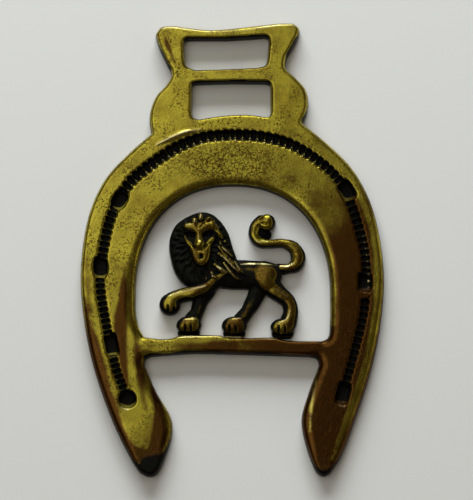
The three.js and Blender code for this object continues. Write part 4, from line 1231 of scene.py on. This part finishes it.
# painted shade on the roundings that face the heels, outside the window
painted_shade_under_edge = faces_heels * outside_window * (1 - smoothstep(normals[:, 2], 0.8, 0.97))
wall = np.maximum.reduce([upright * (0.5 + 0.5 * faces_heels), steep * 0.85 * (1 - upright), painted_shade_under_edge])
# the broad inner rounding of the legs is not a wall
wall *= 1 - 0.5 * smoothstep(-y, 20, 26) * smoothstep(normals[:, 2], 0.4, 0.6)
print("mean of the dark walls:", round(wall.mean(), 2))

# %% Dark groove, with painted highlights on the ridge tips
# painted highlights on the ridge tips, beside the crown on the inner side, and halfway down the right arm
# on the outer one
tip_highlights = np.zeros(len(points))
left_arm = x < 0
tip_highlights[left_arm] = ridge_tips(place[left_arm], groove_left, 1) * smoothstep(place[left_arm, 1], 8, 20)
right_places = place[~left_arm]
inner = ridge_tips(right_places, groove_right, -1) * smoothstep(right_places[:, 1], 14, 21)
outer = ridge_tips(right_places, groove_right, 1) * (1 - smoothstep(abs(right_places[:, 1] + 2), 3, 7))
tip_highlights[~left_arm] = np.maximum(inner, outer * 0.9)
tip_highlights *= cut > CUT_TRACE
in_nail = smoothstep(np.maximum.reduce([nail_cut(place, *nail) for nail in nails]), 0.05, 0.2)
# the black is also lighter on recess walls that face beyond the hanger, as a painted reflection
in_groove = smoothstep(cut, 0.06, 0.8) * (1 - 0.85 * tip_highlights) * (1 - 0.4 * in_nail * faces_away)
print("mean of the dark groove:", round(in_groove.mean(), 2), "and of its tips:", round(tip_highlights.mean(), 3))

# %% Crests of the lion, and its dark mane
crest = smoothstep(proud, -0.05, 0.3) * smoothstep(normals[:, 2], 0.3, 0.7)
crest[near] *= 1 - 0.9 * smoothstep(inside_ring(place[near], face_edge), -0.2, 0.3)
# clean metal kept by polishing, with the painted sheen of the back and the far legs
clean_metal_and_sheen = strokes(place, clean_strokes, 0.22) + strokes(place, faded_clean_and_sheen_strokes, 0.8)
clean_metal_and_sheen[near] += smoothstep(inside_ring(place[near], muzzle_edge), 0.0, 0.3) \
    * smoothstep(oval(place[near], -6.13, -1.65, 0.42, 0.6), 0.8, 1.3)
clean_metal_and_sheen = np.clip(clean_metal_and_sheen, 0, 1) * smoothstep(normals[:, 2], 0.25, 0.6)
in_mane = np.zeros(len(points))
in_mane[near] = smoothstep(inside_ring(place[near], mane_edge), -0.2, 0.3) \
    * (1 - smoothstep(inside_ring(place[near], face_edge), -0.5, 0.1))
# the locks of the mane are rubbed in dashes
dashes = smoothstep(np.sin(4.1 * x + 2.0 * y) * np.sin(3.7 * y - 2.6 * x), -0.5, 0.1)
crest *= 1 - in_mane * 0.75 * (1 - dashes)
# painted shade on the left side of the mane, beside the face
painted_mane_shade = in_mane * smoothstep(0.35 * y - x, 2.2, 3.4)
print("mean of the crests:", round(crest.mean(), 2))

# %% The black amount
# black: patina in the hollows and on the lion, and painted shade on walls, beside the face, under forms and
# on the heels
black = np.maximum.reduce([wall, in_groove * 0.95, on_lion * (1 - crest), painted_mane_shade * 0.95])
black += strokes(place, shade_and_patina_strokes, 0.5) + strokes(place, heel_shade_strokes, 2.4)
black = np.clip(np.clip(black, 0, 1) - clean_metal_and_sheen * on_lion, 0, 1)
print("mean black before rubbing:", round(black.mean(), 2))

# %% The brown amount
# painted shade: the brown deepens towards the lower right, as a darker reflection, across a line from
# the left heel to the right shoulder
LEFT_HEEL = np.array([-17, -41])
RIGHT_SHOULDER = np.array([20, 14])
SHADE_DRIFT = (-9, 12)
BROWN_ON_LION = 0.55
LESS_ON_TAIL = 0.25

drift = RIGHT_SHOULDER - LEFT_HEEL
across = ((x - LEFT_HEEL[0]) * drift[1] - (y - LEFT_HEEL[1]) * drift[0]) / np.hypot(*drift)
brown = smoothstep(across, *SHADE_DRIFT) * (1 - on_lion) + BROWN_ON_LION * on_lion
on_tail = on_lion * smoothstep(x, 3.2, 4.2) * smoothstep(y, -3.6, -3.0)
brown -= LESS_ON_TAIL * on_tail
brown = np.clip(brown + strokes(place, brown_reflection_and_wear_strokes, 0.8) + strokes(place, brown_shade_washes, 2.0), 0, 1)
print("mean brown:", round(brown.mean(), 2))

# %% The painted highlights and the crazed amount
# how strong the painted highlights on the ridge tips and the painted sheen on the back are, and how much
# black a highlight takes away
TIP_HIGHLIGHT = 0.8
SHEEN_HIGHLIGHT = 0.75
HIGHLIGHT_CLEARS_BLACK = 0.8
# the crazed place on the crown: x, y, reach across, reach along
CROWN = (-0.5, 17.0, 12.5, 5.0)

# painted highlights on edges, crests and ridge tips, with a lighter streak in the right heel
highlights_and_streak = (strokes(place, highlight_and_streak_strokes, 0.2) + strokes(place, painted_highlight_strokes, 0.14) * on_lion
          + tip_highlights * TIP_HIGHLIGHT)
sheen = strokes(place, back_sheen, 0.14) * on_lion
highlights_and_streak = np.clip(highlights_and_streak + sheen * SHEEN_HIGHLIGHT, 0, 1)
black = black * (1 - HIGHLIGHT_CLEARS_BLACK * highlights_and_streak)
crazed = smoothstep(-oval(place, *CROWN), -1.15, -0.5)
print("mean rubbed:", round(highlights_and_streak.mean(), 3), "and crazed:", round(crazed.mean(), 3))

# %% Keep the amounts on the mesh
# black is patina and painted shade, brown is mostly painted darker reflection, the third is painted
# highlights, the fourth is crazing
amounts = np.stack([black, brown, highlights_and_streak, crazed], axis=1)
layer = brass.data.color_attributes.new("patina", "FLOAT_COLOR", "POINT")
layer.data.foreach_set("color", amounts.ravel())
print(len(amounts), "points have their four amounts")

# %% [markdown]
# ## Shader nodes as sums
# A finish is built from nodes: small steps whose outputs are wired to the inputs of others. They
# could be added and linked one by one, but thirty links hide what is worked out. So a wire stands
# for an output here, and adding or multiplying wires adds the Math nodes, which reads as arithmetic.
# Any other node comes from one method.

# %% Wires
class Wire:
    """An output socket that can be used in sums."""

    def __init__(self, finish, socket):
        self.finish = finish
        self.socket = socket

    def math(self, operation, *values):
        return self.finish.node("ShaderNodeMath", {"operation": operation}, dict(enumerate(values)))

    def __add__(self, other):
        return self.math("ADD", self, other)

    def __mul__(self, other):
        return self.math("MULTIPLY", self, other)

    def __sub__(self, other):
        return self.math("SUBTRACT", self, other)

    def __rsub__(self, other):
        return self.math("SUBTRACT", other, self)

    __radd__ = __add__
    __rmul__ = __mul__

    def larger(self, other):
        return self.math("MAXIMUM", self, other)

    def between(self, low, high):
        """0 below low, 1 above high, smooth between."""
        sockets = {"Value": self, "From Min": low, "From Max": high}
        return self.finish.node("ShaderNodeMapRange", {"interpolation_type": "SMOOTHSTEP"}, sockets)


print("a wire knows how to", [name for name in vars(Wire) if not name.startswith("_")])

# %% A finish
class Finish:
    """A material under construction."""

    def __init__(self, name):
        self.material = bpy.data.materials.new(name)
        self.material.use_nodes = True
        self.tree = self.material.node_tree
        self.shader = self.tree.nodes["Principled BSDF"]

    def node(self, kind, settings=None, sockets=None, output=0):
        """Adds a node, sets it up, fills its sockets with values or wires, and returns an output."""
        node = self.tree.nodes.new(kind)
        for name, value in (settings or {}).items():
            setattr(node, name, value)
        self.fill(node, sockets or {})
        return Wire(self, node.outputs[output])

    def fill(self, node, sockets):
        """Sets sockets of a node to values, or links wires to them."""
        for key, value in sockets.items():
            if isinstance(value, Wire):
                self.tree.links.new(value.socket, node.inputs[key])
            else:
                node.inputs[key].default_value = value

    def mix(self, share, first, second):
        """A blend of two colours."""
        sockets = {0: share, 6: first, 7: second}
        return self.node("ShaderNodeMix", {"data_type": "RGBA"}, sockets, 2)

    def noise(self, place, scale, detail=3.0, rough=0.5, twist=0.0):
        """Cloudy noise, with this many blobs to a metre."""
        sockets = {"Vector": place, "Scale": scale, "Detail": detail, "Roughness": rough,
                   "Distortion": twist}
        return self.node("ShaderNodeTexNoise", {}, sockets)

    def cells(self, place, scale, feature="F1"):
        """Distances in a pattern of irregular cells, with this many cells to a metre."""
        return self.node("ShaderNodeTexVoronoi", {"feature": feature}, {"Vector": place, "Scale": scale})


print("a finish offers", [name for name in vars(Finish) if not name.startswith("_")])

# %% [markdown]
# ## Aged brass, with painted shade and highlights
# Three metals are laid over each other: olive brass where it is polished, a reddish brown that is
# mostly painted darker reflection, and a nearly black patina in the hollows, which is an oxide and so
# no longer a mirror. The same black is also painted shade on walls and under forms, and a pale brass
# is painted highlight. Each could be a material of its own on its own faces, but patina has no sharp
# borders.
# One material that blends by the four amounts does, and noise breaks up the edges of the blend.
# Small pits and crazing sit in the polish.

# %% Colours of the metal
# BROWN is mostly painted darker reflection, BLACK is patina and painted shade, the pale one is painted
# highlight
OLIVE = (0.48, 0.403, 0.045, 1)
OLIVE_DARK = (0.33, 0.26, 0.030, 1)
BROWN = (0.092, 0.040, 0.008, 1)
BLACK = (0.0035, 0.0035, 0.0025, 1)
PALE_HIGHLIGHT = (0.85, 0.74, 0.38, 1)
CRAZE = (0.06, 0.028, 0.006, 1)
print("the olive is", round(OLIVE[0] / OLIVE[2], 1), "times as red as it is blue")

# %% The amounts as wires
aged = Finish("brass_with_painted_light")
place_on = aged.node("ShaderNodeTexCoord", output=3)
patina = aged.node("ShaderNodeAttribute", {"attribute_name": "patina"})
# the layer carries black patina and painted shade, brown painted reflection, painted highlights and crazing
split = aged.node("ShaderNodeSeparateColor", {}, {0: patina}).socket.node
black_in, brown_in, highlights_in = (Wire(aged, split.outputs[n]) for n in range(3))
crazed_in = Wire(aged, patina.socket.node.outputs["Alpha"])
print("amounts come from the layer", patina.socket.node.attribute_name)

# %% Blotches and grain
blotches = aged.noise(place_on, 220, 4)
grain = aged.noise(place_on, 1500, 3, 0.65)
brown_share = (brown_in + (blotches - 0.5) * 0.7 + (grain - 0.5) * 0.25).between(0.15, 0.85)
black_share = (black_in + (grain - 0.5) * 0.35).between(0.22, 0.82)

olive = aged.mix(blotches.between(0.35, 0.7), OLIVE, OLIVE_DARK)
metal_colour = aged.mix(brown_share, olive, BROWN)
print(len(aged.tree.nodes), "nodes so far")

# %% Crazing, flecks and pits
# crazing is a net of short dark lines, bent by noise, and flecks gather in clusters
NET_BENDS = 700.0
NET_BENT_BY = 0.0024

bends = aged.node("ShaderNodeTexNoise", {}, {"Vector": place_on, "Scale": NET_BENDS}, 1)
offset = aged.node("ShaderNodeVectorMath", {"operation": "SCALE"}, {0: bends, "Scale": NET_BENT_BY})
warped = aged.node("ShaderNodeVectorMath", {"operation": "ADD"}, {0: place_on, 1: offset})
net = 1 - aged.cells(warped, 1050, "DISTANCE_TO_EDGE").between(0.03, 0.15)
net_share = net * (crazed_in * 0.9 + blotches.between(0.58, 0.75) * 0.3) * grain.between(0.34, 0.48)
clusters = aged.noise(place_on, 260, 3).between(0.42, 0.6)
flecks = aged.noise(place_on, 2400, 2, 0.6, 0.6).between(0.53, 0.6) * (clusters * 0.85 + 0.15)
dots = 1 - aged.cells(place_on, 420).between(0.05, 0.13)
dot_share = (dots * aged.noise(place_on, 320, 2).between(0.48, 0.6)).larger(flecks * 0.9)
print(len(aged.tree.nodes), "nodes with crazing, flecks and pits")

# %% Colour, layer over layer
marked = aged.mix(net_share, metal_colour, CRAZE)
marked = aged.mix(dot_share * 0.8, marked, CRAZE)
# painted highlights in pale brass, then black patina and painted shade over all
shining = aged.mix(highlights_in, marked, PALE_HIGHLIGHT)
colour = aged.mix(black_share, shining, BLACK)
print(len(aged.tree.nodes), "nodes with the colour")

# %% Unevenness and gloss
# polished metal is rougher where it is black or crazed, and the black, patina and painted shade alike,
# is hardly metallic any more
BUMP_STRENGTH = 0.35
BUMP_DISTANCE = 0.12 * MM

ripple = aged.noise(place_on, 130, 2)
relief = grain * 0.25 + ripple * 2.0 + blotches * 0.4 - dot_share * 0.8 - net_share * 0.15
bump = aged.node("ShaderNodeBump", {}, {
    "Strength": BUMP_STRENGTH, "Distance": BUMP_DISTANCE, "Height": relief})
aged.fill(aged.shader, {
    "Base Color": colour, "Metallic": 1 - black_share * 0.9, "Specular IOR Level": 0.05,
    "Roughness": 0.22 + grain * 0.06 + black_share * 0.14 + net_share * 0.15, "Normal": bump})
print(len(aged.tree.nodes), "nodes in all")

# %% Put the finish on
bpy.ops.object.select_all(action="DESELECT")
brass.select_set(True)
bpy.context.view_layer.objects.active = brass
bpy.ops.object.shade_smooth()
brass.data.materials.append(aged.material)
print("the casting wears", aged.material.name)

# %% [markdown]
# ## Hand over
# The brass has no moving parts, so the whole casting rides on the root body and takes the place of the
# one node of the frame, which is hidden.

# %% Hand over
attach(brass, "root")
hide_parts("horse_brass")
print(brass.name, "is handed over with", len(brass.data.polygons), "faces")
